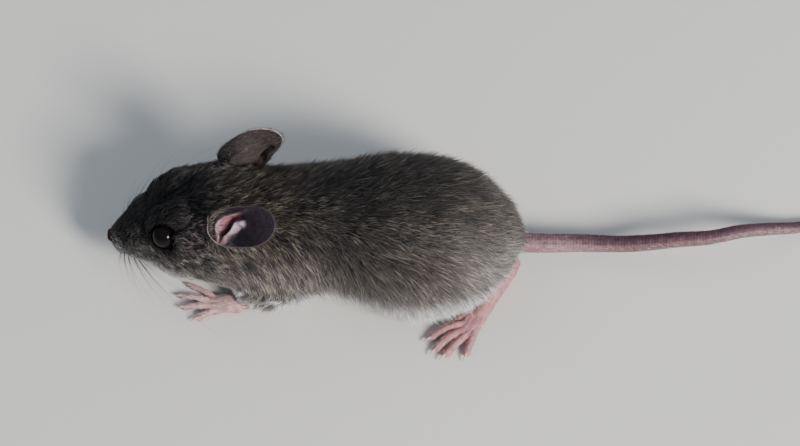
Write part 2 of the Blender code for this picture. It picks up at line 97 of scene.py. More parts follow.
def bump(value, centre, width):
    """A soft hill, 1 at its centre."""
    return np.exp(-((value - centre) / width) ** 2)


def unit(vectors):
    """Each row made one long."""
    return vectors / np.maximum(np.linalg.norm(vectors, axis=-1, keepdims=True), 1e-9)


def rows_of(items, what):
    """Three numbers that each item of a mesh holds, as rows."""
    flat = np.empty(len(items) * 3, np.float32)
    items.foreach_get(what, flat)
    return flat.reshape(-1, 3)


def points_of(mesh):
    """The vertices of a mesh, in millimetres from HOME."""
    return in_mm(rows_of(mesh.vertices, "co"))


def normals_of(mesh):
    """The vertex normals of a mesh."""
    return rows_of(mesh.vertex_normals, "vector").astype(float)


def square_to(normals, vectors):
    """Vectors with the part that lies along the normals taken off, each made one long."""
    return unit(vectors - normals * np.sum(vectors * normals, axis=1)[:, None])


def put(items, what, rows):
    """Gives each item of a mesh its row of numbers."""
    items.foreach_set(what, rows.astype(np.float32).ravel())


def move_points(mesh, points):
    """Puts a mesh's vertices at these points, in millimetres from HOME."""
    put(mesh.vertices, "co", in_frame(points))
    mesh.update()


def distance(points, place):
    """How far each point is from a place."""
    return np.linalg.norm(points - place, axis=1)


def soften(mesh, values, rounds, weight=0.5):
    """Draws each vertex's value towards the mean of its neighbours', several times."""
    ends = np.empty(len(mesh.edges) * 2, np.int32)
    mesh.edges.foreach_get("vertices", ends)
    a, b = ends.reshape(-1, 2).T
    count = len(mesh.vertices)
    links = np.maximum(np.bincount(a, minlength=count) + np.bincount(b, minlength=count), 1)
    columns = values.reshape(count, -1).astype(float)
    for _ in range(rounds):
        for i in range(columns.shape[1]):
            column = columns[:, i]
            near = np.bincount(a, column[b], count) + np.bincount(b, column[a], count)
            columns[:, i] = column + weight * (near / links - column)
    return columns.reshape(values.shape)


def smoothed(mesh, points, rounds):
    """Evens out the surface without thinning it: each draw inwards is followed by one outwards."""
    for _ in range(rounds):
        points = soften(mesh, points, 1, 0.6)
        points = soften(mesh, points, 1, -0.62)
    return points


def as_mesh(solid):
    """The mesh of a solid that has been worked on."""
    mesh = bpy.data.meshes.new("flesh")
    solid.to_mesh(mesh)
    solid.free()
    return mesh


def merged(meshes):
    """Several meshes in one, each kept as it is."""
    whole = bmesh.new()
    for mesh in meshes:
        whole.from_mesh(mesh)
        bpy.data.meshes.remove(mesh)
    return as_mesh(whole)


def swelled(names, grow):
    """One mesh of several solids, each swelled by grow, so that the cuts between them close."""
    pieces = []
    for name in names:
        solid = bmesh.new()
        solid.from_mesh(nodes[name].data)
        bmesh.ops.remove_doubles(solid, verts=solid.verts, dist=1e-6)
        solid.normal_update()
        for vertex in solid.verts:
            vertex.co += vertex.normal * grow * MM
        pieces.append(as_mesh(solid))
    return merged(pieces)


def in_scene(name, data):
    """A new object of this mesh, lamp or camera."""
    made = bpy.data.objects.new(name, data)
    bpy.context.scene.collection.objects.link(made)
    return made


def with_modifier(mesh, kind, where=None, **settings):
    """The mesh that a modifier makes of this one, or of the vertices that where picks."""
    piece = in_scene("being_made", mesh)
    if where is not None:
        group = piece.vertex_groups.new(name="where")
        group.add(np.flatnonzero(where).tolist(), 1.0, "REPLACE")
        settings["vertex_group"] = group.name
    modifier = piece.modifiers.new(kind, kind)
    for key, value in settings.items():
        setattr(modifier, key, value)
    made = bpy.data.meshes.new_from_object(piece.evaluated_get(bpy.context.evaluated_depsgraph_get()))
    bpy.data.objects.remove(piece)
    bpy.data.meshes.remove(mesh)
    return made


def grown_together(mesh, voxel):
    """One closed surface round everything in a mesh."""
    return with_modifier(mesh, "REMESH", mode="VOXEL", voxel_size=voxel * MM)


bare_feet = merged([nodes[name].data.copy() for name in foot_nodes])
foot_faces = [face.vertices[:] for face in bare_feet.polygons]
feet_surface = BVHTree.FromPolygons(points_of(bare_feet).tolist(), foot_faces)


def from_feet(points):
    """How far each point is from the nearest bare foot."""
    return np.array([feet_surface.find_nearest(place)[3] for place in points.tolist()])


COAT_ALONG = ((0, 3, 9, 18, 30, 42, 60, 67, 71), (0.2, 0.3, 0.55, 1.0, 1.7, 2.0, 2.1, 1.6, 0.6))


def coat_depth(points, feet_away):
    """How far the tips of the coat lie above the skin: least on the muzzle and down the legs."""
    along = np.interp(points[:, 0], *COAT_ALONG)
    under = 1 - 0.35 * step(-points[:, 2], -4.5, -1.5)
    return along * under * (0.28 + 0.72 * step(feet_away, 0.5, 8.0))


body = grown_together(swelled(furred_nodes, SWELL), COARSE)
outline = points_of(body)
depth = coat_depth(outline, from_feet(outline)) + SWELL
depth = soften(body, depth, 10)
STEPS = 6
flesh = soften(body, outline, 2)
for _ in range(STEPS):
    move_points(body, flesh)
    flesh = soften(body, flesh - normals_of(body) * (depth / STEPS)[:, None], 2)
move_points(body, flesh)


# ---- Nose, lids, feet and tail -------------------------------------------------------
# The bare parts of the same skin. They are built up in flesh over the body first, a nose pad with its
# wings, a thick lid round each eye, long foot bones fanning into jointed toes, and the tail.

EYE_RADIUS = (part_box("eye_left")[1].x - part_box("eye_left")[0].x) / 2 / MM
EYES = {side: in_mm(place) for side, place in eyes.items()}
HEAD_ROLL = math.radians(-10.0)  # the left side of the head is carried a little higher
ROLL_AXIS = np.array((0, 0, 7.8))
LID_OPENING = math.radians(74)  # from the middle of the eye to the edge of its lids
LID_POINTS = 48
# root, knuckle and tip of each toe, as lengths ahead of the heel, inward and up; then its radius
HIND_TOES = (
    ((10.4, 0.9, 1.1), (12.6, 1.9, 1.3), (14.4, 2.8, 0.6), 0.6),
    ((14.2, 1.1, 1.2), (16.0, 3.2, 1.7), (18.9, 4.6, 0.58), 0.62),
    ((15.2, 0.45, 1.25), (17.6, 2.2, 1.8), (20.4, 2.85, 0.58), 0.63),
    ((15.4, -0.35, 1.25), (17.8, 0.25, 1.75), (20.4, 0.95, 0.58), 0.63),
    ((14.4, -1.0, 1.15), (16.6, -1.6, 1.6), (18.5, -1.85, 0.58), 0.6),
)
FORE_TOES = (
    ((4.0, 1.0, 0.95), (6.4, 2.7, 1.3), (8.4, 3.6, 0.5), 0.47),
    ((4.8, 0.5, 1.0), (7.6, 1.2, 1.45), (9.8, 1.6, 0.5), 0.5),
    ((4.8, -0.4, 1.0), (7.4, -0.5, 1.45), (9.3, -0.5, 0.5), 0.5),
    ((3.9, -1.0, 0.95), (5.6, -1.9, 1.3), (6.9, -2.5, 0.5), 0.47),
)
FEET_STAND = {  # heel or wrist on the floor, the way the foot points, its toes
    "hind_foot_left": ((68.7, -3.0, 0), (-0.515, -0.857, 0), HIND_TOES),
    "hind_foot_right": ((68.6, 1.6, 0), (-0.72, 0.62, 0), HIND_TOES),
    "forefoot_left": ((23.0, -10.9, 0), (-1.0, 0.04, 0), FORE_TOES),
    "forefoot_right": ((22.3, 6.4, 0), (-0.97, 0.12, 0), FORE_TOES),
}
ANKLE_LIFT = {"left": (65.6, -5.2, 4.2), "right": (66.0, 3.8, 4.2)}
CLEAR = 0.02  # how far everything stays above the table
TAIL_FROM = 70  # where the coat ends and the bare tail begins, behind the nose
TAIL_TIP = 5.0  # the length over which the tail draws in to a point


def head_point(x, y, z):
    """A place on the level head, with the head then rolled as it is carried."""
    x, y, z = np.array((x, y, z), float) - ROLL_AXIS
    cos, sin = math.cos(HEAD_ROLL), math.sin(HEAD_ROLL)
    return np.array((x, y * cos - z * sin, y * sin + z * cos)) + ROLL_AXIS


def tube(points, radii, sides=14, up=(0, 0, 1), flat=1.0, ring=False):
    """A round-ended tube, or a closed ring, through these points; flat squeezes it along up."""
    points = np.asarray(points, float)
    radii = np.broadcast_to(np.asarray(radii, float), len(points))
    if not ring:
        for end, inner in ((0, 1), (-1, -2)):
            ahead = unit(points[end] - points[inner])
            turn = np.radians((30, 55, 78))
            cap = points[end] + ahead * (radii[end] * np.sin(turn))[:, None]
            small = radii[end] * np.cos(turn)
            points = np.vstack((cap[::-1], points)) if end == 0 else np.vstack((points, cap))
            radii = np.concatenate((small[::-1], radii) if end == 0 else (radii, small))
    ahead = np.roll(points, -1, 0) - np.roll(points, 1, 0) if ring else np.gradient(points, axis=0)
    side = unit(np.cross(ahead, up))
    above = unit(np.cross(side, ahead))
    around = np.arange(sides) / sides * 2 * math.pi
    rows = (points[:, None] + side[:, None] * (radii[:, None] * np.cos(around))[..., None]
            + above[:, None] * (radii[:, None] * np.sin(around) * flat)[..., None])
    count = len(points)
    index = np.arange(count * sides).reshape(count, sides)
    lower, upper = (index, np.roll(index, -1, 0)) if ring else (index[:-1], index[1:])
    quads = np.stack((lower, np.roll(lower, -1, 1), np.roll(upper, -1, 1), upper), -1).reshape(-1, 4)
    faces = quads.tolist()
    if not ring:
        faces += [index[0][::-1].tolist(), index[-1].tolist()]
    mesh = bpy.data.meshes.new("tube")
    mesh.from_pydata(in_frame(rows.reshape(-1, 3)).tolist(), [], faces)
    return mesh


def ball(centre, radii, sides=18):
    """An ellipsoid of flesh."""
    solid = bmesh.new()
    bmesh.ops.create_uvsphere(solid, u_segments=sides, v_segments=sides // 2, radius=1)
    for vertex in solid.verts:
        vertex.co = Vector(in_frame(np.array(centre) + np.array(vertex.co) * radii))
    return as_mesh(solid)


def eye_frame(side):
    """The middle of an eye, the way it looks, and two directions across it: forward, and up."""
    centre = EYES[side]
    sign = SIDES[side]
    looks = unit(head_point(-0.28, sign * 0.9, 0.34) - head_point(0, 0, 0))
    forward = unit(np.array((-1, 0, -0.2)) - looks * np.dot((-1, 0, -0.2), looks))
    return centre, looks, forward, unit(np.cross(looks, forward)) * sign


def lid_line(side, spread, reach):
    """A ring round an eye: spread is its angle from the middle, reach its distance from the centre."""
    centre, looks, forward, up = eye_frame(side)
    turn = np.arange(LID_POINTS) / LID_POINTS * 2 * math.pi
    corner = np.abs(np.cos(turn)) ** 6 * math.radians(7)
    angle = spread + corner - np.abs(np.sin(turn)) * math.radians(3)
    across = np.cos(turn)[:, None] * forward + np.sin(turn)[:, None] * up
    return centre + reach * (np.cos(angle)[:, None] * looks + np.sin(angle)[:, None] * across)


def side_of(name):
    """The side that a foot is on, which its name ends with."""
    return name.rsplit("_", 1)[1]


def on_foot(name, ahead, inward, up):
    """A place on a foot, counted from its heel."""
    heel, forward, _ = FEET_STAND[name]
    forward = unit(np.array(forward))
    side = np.cross((0, 0, SIDES[side_of(name)]), forward)
    return np.array(heel) + forward * ahead + side * inward + np.array((0, 0, up))


ALONG_TOE = np.linspace(0, 1, 15)


def toe_line(name, toe):
    """The arch of a toe, from its root over the knuckle to its tip."""
    share = ALONG_TOE[:, None]
    root, knuckle, tip = (on_foot(name, *place) for place in toe[:3])
    return (1 - share) ** 2 * root + 2 * share * (1 - share) * knuckle + share**2 * tip


def foot_flesh(name):
    """The foot bones, pads and jointed toes of one foot."""
    def place(*steps):
        return on_foot(name, *steps)

    toes = FEET_STAND[name][2]
    hind = name.startswith("hind")
    start = (1.5, 0, 1.5) if hind else (0.4, 0, 1.35)
    parts = []
    for root, knuckle, tip, radius in toes:
        spread = 0.6 if hind else 0.9
        bone = [place(start[0], root[1] * spread, start[2])]
        bone.append(place((start[0] + root[0]) / 2, root[1] * 0.9, start[2] + 0.1))
        bone.append(place(*root))
        bone_radii = (0.95, radius * 1.12, radius * 1.15) if hind else (0.8, 0.72, 0.7)
        parts.append(tube(bone, bone_radii, flat=0.85))
        joints = 0.16 * bump(ALONG_TOE, 0.36, 0.09) + 0.12 * bump(ALONG_TOE, 0.7, 0.08)
        joints = joints + 0.2 * bump(ALONG_TOE, 0.97, 0.1)
        parts.append(tube(toe_line(name, (root, knuckle, tip)), radius * (1.0 - 0.12 * ALONG_TOE + joints)))
        parts.append(ball(place(root[0] + 0.5, root[1], 0.55), (0.75, 0.75, 0.5)))
        parts.append(ball(place(tip[0] - 0.15, tip[1], 0.42), (0.5, 0.5, 0.4)))
    if hind:
        sole = [place(0, -0.1, 1.35), place(5, -0.3, 1.35), place(11, -0.1, 1.3)]
        parts.append(tube(sole, (1.15, 1.2, 1.25)))
        ankle = np.array(ANKLE_LIFT[side_of(name)]) + (-1.2, -0.3, 0.4)
        parts.append(tube([place(0.4, 0, 1.45), place(1.2, 0, 2.5), ankle], (1.0, 1.05, 1.2), up=(1, 0, 0)))
        parts.append(ball(place(7.5, 0.4, 0.45), (0.7, 0.5, 0.4)))
    else:
        palm = [place(-5.0, -0.2, 2.6), place(-1.6, 0, 1.75), place(2.4, 0, 1.1)]
        parts.append(tube(palm, (1.0, 0.95, 1.3), flat=0.8))
        parts.append(ball(place(1.2, 0.5, 0.55), (0.8, 0.55, 0.5)))
    return parts


flesh_parts = [body, swelled(tail_nodes, 0.17)]
tail_root = [(60, -1.2, 9), (66, -1.2, 6.4), (70, -1.0, 5.1), (72, -0.9, 4.6)]
flesh_parts.append(tube(tail_root, (3.0, 2.1, 1.5, 1.4)))
flesh_parts.append(ball(head_point(1.4, 0, 6.15), (0.8, 0.85, 0.8)))
for sign in SIDES.values():
    flesh_parts.append(ball(head_point(1.45, sign * 0.62, 6.2), (0.6, 0.5, 0.55)))
for name in FEET_STAND:
    flesh_parts += foot_flesh(name)
ear_root = [(19.3, 3.6, 13.4), (20.4, 5.6, 15.6), (21.2, 6.9, 17.0)]
flesh_parts.append(tube(ear_root, (2.3, 1.9, 1.3), up=(1, 0, 0.4)))
for side in SIDES:
    centre, looks, forward, up = eye_frame(side)
    socket, brow = centre - looks * 3.4, centre - looks * 2.3 - forward * 2.4 + up * 2.1
    flesh_parts += [ball(socket, (4.45, 4.45, 4.45), 40), ball(brow, (3.4, 3.0, 3.0), 40)]
    for spread, reach, thick in ((0.45, 0.45, 0.55), (0.1, 0.14, 0.26)):
        lid = lid_line(side, LID_OPENING + spread, EYE_RADIUS + reach)
        flesh_parts.append(tube(lid, thick, up=looks, ring=True))
skin_mesh = grown_together(merged(flesh_parts), FINE)
place = smoothed(skin_mesh, points_of(skin_mesh), 6)


def press(points, towards, at, width, depth):
    """Pushes the flesh round one point by depth along a direction."""
    near = np.exp(-np.sum(((points - at) / width) ** 2, axis=1))
    return points + near[:, None] * np.asarray(towards, float) * depth


# the pad of the nose, cleft below, with a comma of a nostril each side; and the line of the mouth
for sign in SIDES.values():
    wing = head_point(1.1, sign * 0.75, 6.25)
    place = press(place, (-1, sign * 0.7, 0.1), wing, (0.7, 0.55, 0.6), 0.3)
    place = press(place, (1, -sign * 0.3, 0.2), head_point(0.75, sign * 0.62, 6.05), (0.7, 0.26, 0.2), 0.75)
    place = press(place, (1, -sign * 0.6, 0), head_point(1.3, sign * 1.1, 6.2), (0.4, 0.25, 0.16), 0.45)
    for x in np.arange(2.4, 7.6, 0.5):
        lip = head_point(x, sign * np.interp(x, (2.4, 7.6), (0.9, 3.2)), 4.35 + 0.1 * (x - 2.4))
        place = press(place, (0.2, -sign, 0.3), lip, (0.45, 0.5, 0.2), 0.3)
for z in np.arange(4.4, 5.9, 0.3):
    place = press(place, (1, 0, 0), head_point(0.9 + (5.9 - z) * 0.5, 0, z), (0.6, 0.16, 0.3), 0.4)
for side in SIDES:
    centre, looks, _, _ = eye_frame(side)
    away = distance(place, centre)
    turned = np.arccos(np.clip((place - centre) @ looks / away, -1, 1))
    lid = (away < EYE_RADIUS + 0.05) & (turned > LID_OPENING - 0.02)
    under = (away < EYE_RADIUS + 0.4) & (turned < LID_OPENING - 0.02)
    for rows, reach in ((lid, EYE_RADIUS + 0.05), (under, EYE_RADIUS - 0.3)):
        place[rows] = centre + (place[rows] - centre) / away[rows, None] * reach

# the head makes room for the hollows of the ears
EAR_BASE = {"left": (18.6, -6.6, 17.6), "right": (19.4, 8.2, 16.0)}
EAR_AXES = {  # from its front to its tip, and across it from its lower edge to its upper
    "left": ((0.86, -0.12, 0.49), (-0.15, 0.89, 0.41)),
    "right": ((0.82, 0.10, 0.46), (-0.48, 0.1, 0.87)),
}
EAR_MIDDLE = (5.2, -0.4)
EAR_RIM = {  # along and across, from the tip round by the upper edge
    "left": ((12.9, -0.6), (12.3, 0.8), (10.9, 1.9), (9.5, 2.55), (8.0, 2.85), (6.3, 3.0), (4.3, 3.15),
             (2.4, 3.0), (0.9, 2.4), (-0.2, 1.5), (-0.6, 0.5), (-0.3, -0.7), (0.6, -1.9), (1.8, -2.6),
             (3.0, -2.95), (4.4, -3.3), (6.1, -3.6), (8.0, -3.75), (9.6, -3.55), (10.9, -3.1), (12.3, -2.0)),
    "right": ((12.6, -0.8), (12.1, 1.0), (11.0, 2.5), (9.9, 3.3), (8.2, 3.85), (6.9, 3.8), (5.7, 3.65),
              (4.4, 3.35), (3.2, 2.9), (2.0, 2.25), (1.0, 1.55), (0.1, 0.8), (-0.3, -0.2), (-0.2, -1.2),
              (1.0, -2.6), (3.0, -3.9), (4.5, -4.7), (5.9, -5.0), (7.0, -4.4), (8.6, -3.2), (10.5, -2.4)),
}


def ear_axes(side):
    """Directions along an ear, across it, and out of its hollow."""
    along, across = (unit(np.array(axis)) for axis in EAR_AXES[side])
    return along, across, unit(np.cross(along, across)) * -SIDES[side]


def in_ear(side, points):
    """Places in an ear: how far along it, across it and out of it."""
    return (points - np.array(EAR_BASE[side])) @ np.array(ear_axes(side)).T


def to_rim(side, reach, aside):
    """0 at the middle of an ear, 1 on its rim."""
    rim = np.array(EAR_RIM[side]) - EAR_MIDDLE
    turn = np.arctan2(rim[:, 1], rim[:, 0])
    round_rim = np.linspace(-math.pi, math.pi, 361)
    radius = np.interp(round_rim, turn, np.hypot(*rim.T), period=2 * math.pi)
    for _ in range(12):
        radius = (np.roll(radius, 4) + radius + np.roll(radius, -4)) / 3
    away, beside = reach - EAR_MIDDLE[0], aside - EAR_MIDDLE[1]
    return np.hypot(away, beside) / np.interp(np.arctan2(beside, away), round_rim, radius)


def ear_cup(side, reach, aside):
    """How far the middle layer of the leaf lies out of the ear's plane: a hollow, deepest near its front."""
    inward = np.clip(to_rim(side, reach, aside), 0, 1)
    hollow = 2.3 * np.exp(-((reach - 3.2) / 4.8)**2) * (1 - inward**3)
    lift = 0.45 * fade(reach, 0.5, 5.0) * inward**2
    return lift - hollow


for side in SIDES:
    reach, aside, out = in_ear(side, place).T
    under_ear = (to_rim(side, reach, aside) < 0.97) & (reach < 9) & (out > -4.5) & (out < 2.0)
    floor_of_cup = ear_cup(side, reach, aside) - 0.35
    sink = np.clip(out - floor_of_cup, 0, None) * under_ear
    place = place - ear_axes(side)[2] * sink[:, None]

# the tail draws in to its tip
tail_end = in_mm(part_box(tail_nodes[-1])[1])[0]
tip = (place[:, 0] > tail_end - TAIL_TIP) & (place[:, 0] < tail_end + 2)
middle = place[tip].mean(axis=0)
share = step(place[tip, 0], tail_end - TAIL_TIP, tail_end + 0.6)
lean = np.polyfit(place[tip, 0], place[tip, 1], 1)
axis_y = np.polyval(lean, place[tip, 0])
place[tip, 1] = axis_y + (place[tip, 1] - axis_y) * (1 - 0.72 * share)
place[tip, 2] = middle[2] * 0.8 + (place[tip, 2] - middle[2]) * (1 - 0.72 * share)
place[:, 2] = np.maximum(place[:, 2], CLEAR)
move_points(skin_mesh, place)

# under the coat the skin needs less detail than where it is bare
from_eyes = np.min([distance(place, centre) for centre in EYES.values()], axis=0)
covered = (place[:, 0] > 6) & (place[:, 0] < 68) & (from_feet(place) > 2.5) & (from_eyes > 4.5)
KEPT = 0.42  # of the triangles
skin_mesh = with_modifier(skin_mesh, "DECIMATE", where=covered, ratio=KEPT)


# ---- The ears ------------------------------------------------------------------------
# Each ear is a thin leaf of gristle and skin, rolled into a funnel at its root. Inside lie the pink
# folds round the ear hole, and outside them the grey-brown leaf with its pale rim.

EAR_LEAF = 0.26  # thickness
EAR_RINGS, EAR_SPOKES = 38, 112
INNER_RIDGE = ((8.6, 2.2), (7.4, 2.5), (5.8, 2.5), (3.9, 2.5), (2.6, 2.35), (1.4, 1.75), (0.8, 1.0),
               (0.6, 0.2), (0.7, -0.8), (1.2, -2.2))
CREST = ((5.2, 1.1), (4.6, 1.2), (3.9, 1.0), (3.0, -0.1), (2.15, -1.1), (1.7, -2.3))


def linear(code):
    """A hex colour as the linear red, green and blue that shaders take."""
    parts = np.array([int(code[i:i + 2], 16) / 255 for i in (1, 3, 5)])
    return np.where(parts <= 0.04045, parts / 12.92, ((parts + 0.055) / 1.055) ** 2.4)


def mix(base, over, share):
    """Colours of many points, with another colour laid over them by each point's share."""
    share = np.asarray(share)[..., None]
    return base * (1 - share) + over * share


def layered(base, *layers):
    """A colour, or many, with others laid over it in turn, each by its share; hex codes will do."""
    colour = linear(base) if isinstance(base, str) else base
    for over, share in layers:
        colour = mix(colour, linear(over) if isinstance(over, str) else over, share)
    return colour


def paint(mesh, colours):
    """Keeps a colour for each vertex of a mesh."""
    layer = mesh.color_attributes.new("tint", "FLOAT_COLOR", "POINT")
    put(layer.data, "color", np.concatenate((colours, np.ones((len(colours), 1))), axis=1))


def from_line(reach, aside, line):
    """How far places in an ear are from a line across it, and how far beyond it towards the tip."""
    nearest = np.full(reach.shape, 1e9)
    beyond = np.zeros(reach.shape)
    for start, end in zip(np.array(line[:-1]), np.array(line[1:])):
        span = end - start
        from_start = np.stack((reach - start[0], aside - start[1]), axis=-1)
        share = np.clip(from_start @ span / (span @ span), 0, 1)
        apart = np.linalg.norm(from_start - share[..., None] * span, axis=-1)
        side_of = np.sign(span[0] * from_start[..., 1] - span[1] * from_start[..., 0])
        closer = apart < nearest
        nearest = np.where(closer, apart, nearest)
        beyond = np.where(closer, apart * side_of, beyond)
    return nearest, beyond


def ear_folds(reach, aside):
    """How far the lining stands into the hollow: an inner rim, a deep slit behind it, and a thick fold."""
    ridge, inside = from_line(reach, aside, INNER_RIDGE)
    crest, behind = from_line(reach, aside, CREST)
    low = fade(aside, -1.0, 1.6)
    ridged = (0.6 * bump(ridge, 0, 0.3) - 0.12 * bump(inside, -0.6, 0.3)) * fade(reach, 4.8, 8.0)
    fold = np.where(behind > 0, bump(behind, 0.2, 1.0), bump(behind, 0.0, 0.16))
    fold = (0.75 + 0.45 * low) * fold * step(1.4 - crest, 0, 0.6)
    slit = -0.5 * bump(behind, -0.5, 0.25) * step(1.3 - crest, 0, 0.5)
    ribs = 0.03 * np.sin(reach * 4.5 + aside) * step(reach, 6.5, 7.5)
    return ridged + fold + slit + ribs


def ear_mesh(side):
    """One ear, a closed leaf with a colour for each vertex."""
    along, across, out = ear_axes(side)
    inward = np.sin(np.linspace(0, math.pi / 2, EAR_RINGS))[:, None] * np.ones(EAR_SPOKES)
    turn = np.linspace(0, 2 * math.pi, EAR_SPOKES, endpoint=False)[None] * np.ones((EAR_RINGS, 1))
    one_mm = to_rim(side, EAR_MIDDLE[0] + np.cos(turn), EAR_MIDDLE[1] + np.sin(turn))
    reach = EAR_MIDDLE[0] + np.cos(turn) * inward / one_mm
    aside = EAR_MIDDLE[1] + np.sin(turn) * inward / one_mm
    height, tiny = ear_cup(side, reach, aside), 0.02
    slope_along = (ear_cup(side, reach + tiny, aside) - ear_cup(side, reach - tiny, aside)) / (2 * tiny)
    slope_across = (ear_cup(side, reach, aside + tiny) - ear_cup(side, reach, aside - tiny)) / (2 * tiny)
    normal = unit(out - slope_along[..., None] * along - slope_across[..., None] * across)
    folds = ear_folds(reach, aside) * step(1 - inward, 0.03, 0.16)
    if side == "right":
        dent, _ = from_line(reach, aside, ((6.4, -3.0), (7.4, -2.2), (9.0, -1.8)))
        bulge, _ = from_line(reach, aside, ((3.2, -2.0), (4.6, -3.1), (5.9, -4.1)))
        pressed = 1.5 * bump(dent, 0, 0.55) - 0.5 * bump(bulge, 0, 0.5)
        height = height + pressed * step(1 - inward, 0.0, 0.12)
    middle = np.array(EAR_BASE[side]) + reach[..., None] * along + aside[..., None] * across
    middle = middle + height[..., None] * out
    half = EAR_LEAF / 2 * np.sqrt(1 - np.clip((inward - 0.97) / 0.03, 0, 1)**2)
    lining = middle + normal * (half + folds)[..., None]
    back = middle - normal * (half - np.clip(folds, -0.5, 0))[..., None]

    edge = step(inward, 0.975, 0.99)
    ridge, inside_ridge = from_line(reach, aside, INNER_RIDGE)
    crest, behind = from_line(reach, aside, CREST)
    pink = step(inside_ridge, -0.1, 0.1) * fade(behind, 0.3, 1.0) * fade(reach, 4.6, 6.2)
    lip = bump(ridge, 0.3, 0.45) * (0.3 + 0.7 * fade(reach, 1.5, 3.5))
    # the channel between rim and inner ridge is laid dark: partly brown-dark fur, partly painted shade in
    # the channel
    channel = fade(inside_ridge, -0.3, -0.12) * fade(reach, 6.5, 7.5)
    # the slit of the ear hole: deep red skin, darkened as painted shade down in the slit
    slit = bump(behind, -0.42, 0.3) * step(1.0 - aside, 0, 1.6) * step(1.3 - crest, 0, 0.5)
    # painted highlight: the crest of the fold laid pale lilac-white, as where the sun strikes it
    broad = 0.7 + 0.8 * bump(aside, 0.1, 1.0)
    crest_highlight = np.where(behind > 0, fade(behind, 0.7 * broad, 1.4 * broad), step(behind, -0.22, -0.05))
    crest_highlight = crest_highlight * step(1.9 - crest, 0, 0.6) * fade(aside, 0.8, 1.3) * fade(reach, 5.6, 6.4)
    crest_highlight_tone = layered("#a7848f", ("#dccbd8", bump(aside, 0.4, 1.3)))
    spot = bump(np.hypot(reach - 6.7, (aside + 0.2) * 0.5), 0.0, 0.5)
    ridge_line = bump(ridge, 0.0, 0.12) * (1 - channel) * fade(reach, 4.2, 6.6)
    front_rim = fade(reach, 0.8, 2.6) * fade(aside, 0.2, 1.6)
    rim = layered("#5a5358", ("#75695f", fade(reach, 0.5, 4.0)), ("#b5a39d", 0.8 * front_rim))
    outside = layered("#413a3d", ("#322d31", step(reach, 5.0, 11.0)))
    if side == "right":
        # painted highlight: the far ear's rim laid pale, as where the sun strikes it
        rim = layered(rim, ("#cdc6c6", 0.85))
        # painted highlight on the fold below the dent
        bulge_highlight = 0.8 * bump(bulge, 0.15, 0.5)
        # painted shadow: the dent laid near black
        outside = layered(outside, ("#0c090b", bump(dent, 0, 0.65)), ("#9b8686", bulge_highlight))
    inside = layered("#3d363e", ("#8c545b", pink), ("#b891a3", pink * lip), ("#30282a", 0.9 * channel),
                     ("#4d1519", slit * 0.95), (crest_highlight_tone, 0.92 * crest_highlight), ("#4d4143", 0.6 * spot),
                     ("#b59d98", 0.85 * ridge_line), (rim, 0.9 * edge))
    outside = layered(outside, (rim, 0.9 * edge))

    count = EAR_RINGS * EAR_SPOKES
    grid = np.arange(count).reshape(EAR_RINGS, EAR_SPOKES)
    after = np.roll(grid, -1, axis=1)
    quads = np.stack((grid[:-1], after[:-1], after[1:], grid[1:]), -1).reshape(-1, 4)
    faces = np.concatenate((quads, quads[:, ::-1] + count))
    mesh = bpy.data.meshes.new("leaf")
    mesh.from_pydata(in_frame(np.concatenate((lining, back)).reshape(-1, 3)).tolist(), [], faces.tolist())
    paint(mesh, np.concatenate((inside, outside)).reshape(-1, 3))
    solid = bmesh.new()
    solid.from_mesh(mesh)
    bmesh.ops.remove_doubles(solid, verts=solid.verts, dist=0.02 * MM)
    bmesh.ops.recalc_face_normals(solid, faces=solid.faces)
    return as_mesh(solid)


ears = {side: ear_mesh(side) for side in SIDES}


# ---- The skin ------------------------------------------------------------------------
# One skin for the whole animal. It is bare and pink on the feet, the nose, the lids and the scaly tail,
# and elsewhere it carries the close slate-grey underwool, in the same markings as the coat above it.

# heights at these distances behind the nose: the coat is pale below the first, white below the second
PALE_LINE = ((0, 3, 7, 12, 18, 24, 30, 36, 56, 62, 68),
             (6.4, 7.0, 7.5, 7.9, 8.6, 9.4, 10.2, 11.1, 11.1, 9.0, 6.0))
WHITE_LINE = ((0, 3, 7, 12, 18, 21, 24, 30, 34, 37, 56, 62, 68),
              (6.4, 7.0, 7.5, 7.8, 7.6, 6.4, 5.4, 5.4, 8.0, 11.0, 11.1, 9.0, 6.0))
SPINE = ((0, 14, 30, 57, 70), (0.9, 0.3, -1.9, -2.7, -0.5))  # how far aside it lies, behind the nose
SLATE, GREY_BROWN, DUSKY = "#1f1f23", "#5f5855", "#332f2f"
PALE_GREY = "#8b8481"  # low on the flanks, on the cheeks and the rump
WHITE_ROOT, WHITE_TIP = "#63616a", "#d9d7d8"


def waves(points, size):
    """A soft random field from -1 to 1, in patches of about this size."""
    x, y, z = (points * (2 * math.pi / size)).T
    return (np.sin(x + 1.7 * np.sin(0.7 * y + 1)) + np.sin(1.1 * y + 1.3 * np.sin(0.9 * z + 2)) + np.sin(
        0.9 * z + 1.9 * np.sin(0.8 * x + 4))) / 3


def white_part(points, normals):
    """0 on the grey-brown back, flanks and arms, 1 on the white lips, throat, belly and inner legs."""
    x, _, z = points.T
    line = np.interp(x, *WHITE_LINE) + 0.5 * waves(points, 5)
    arm = step(normals[:, 2], 0.0, 0.6) * step(x, 19, 22) * fade(x, 35, 38)
    return fade(z - line + 3.5 * arm, -1.6, 1.6)


def dusky_part(points):
    """1 along the middle of the back and the crown, where dark hairs crowd."""
    x, y, _ = points.T
    aside = np.abs(y - np.interp(x, *SPINE))
    wide = np.interp(x, (0, 12, 30, 55, 70), (2.5, 5.5, 8, 9, 5))
    return fade(aside, wide * 0.35, wide * 1.15)


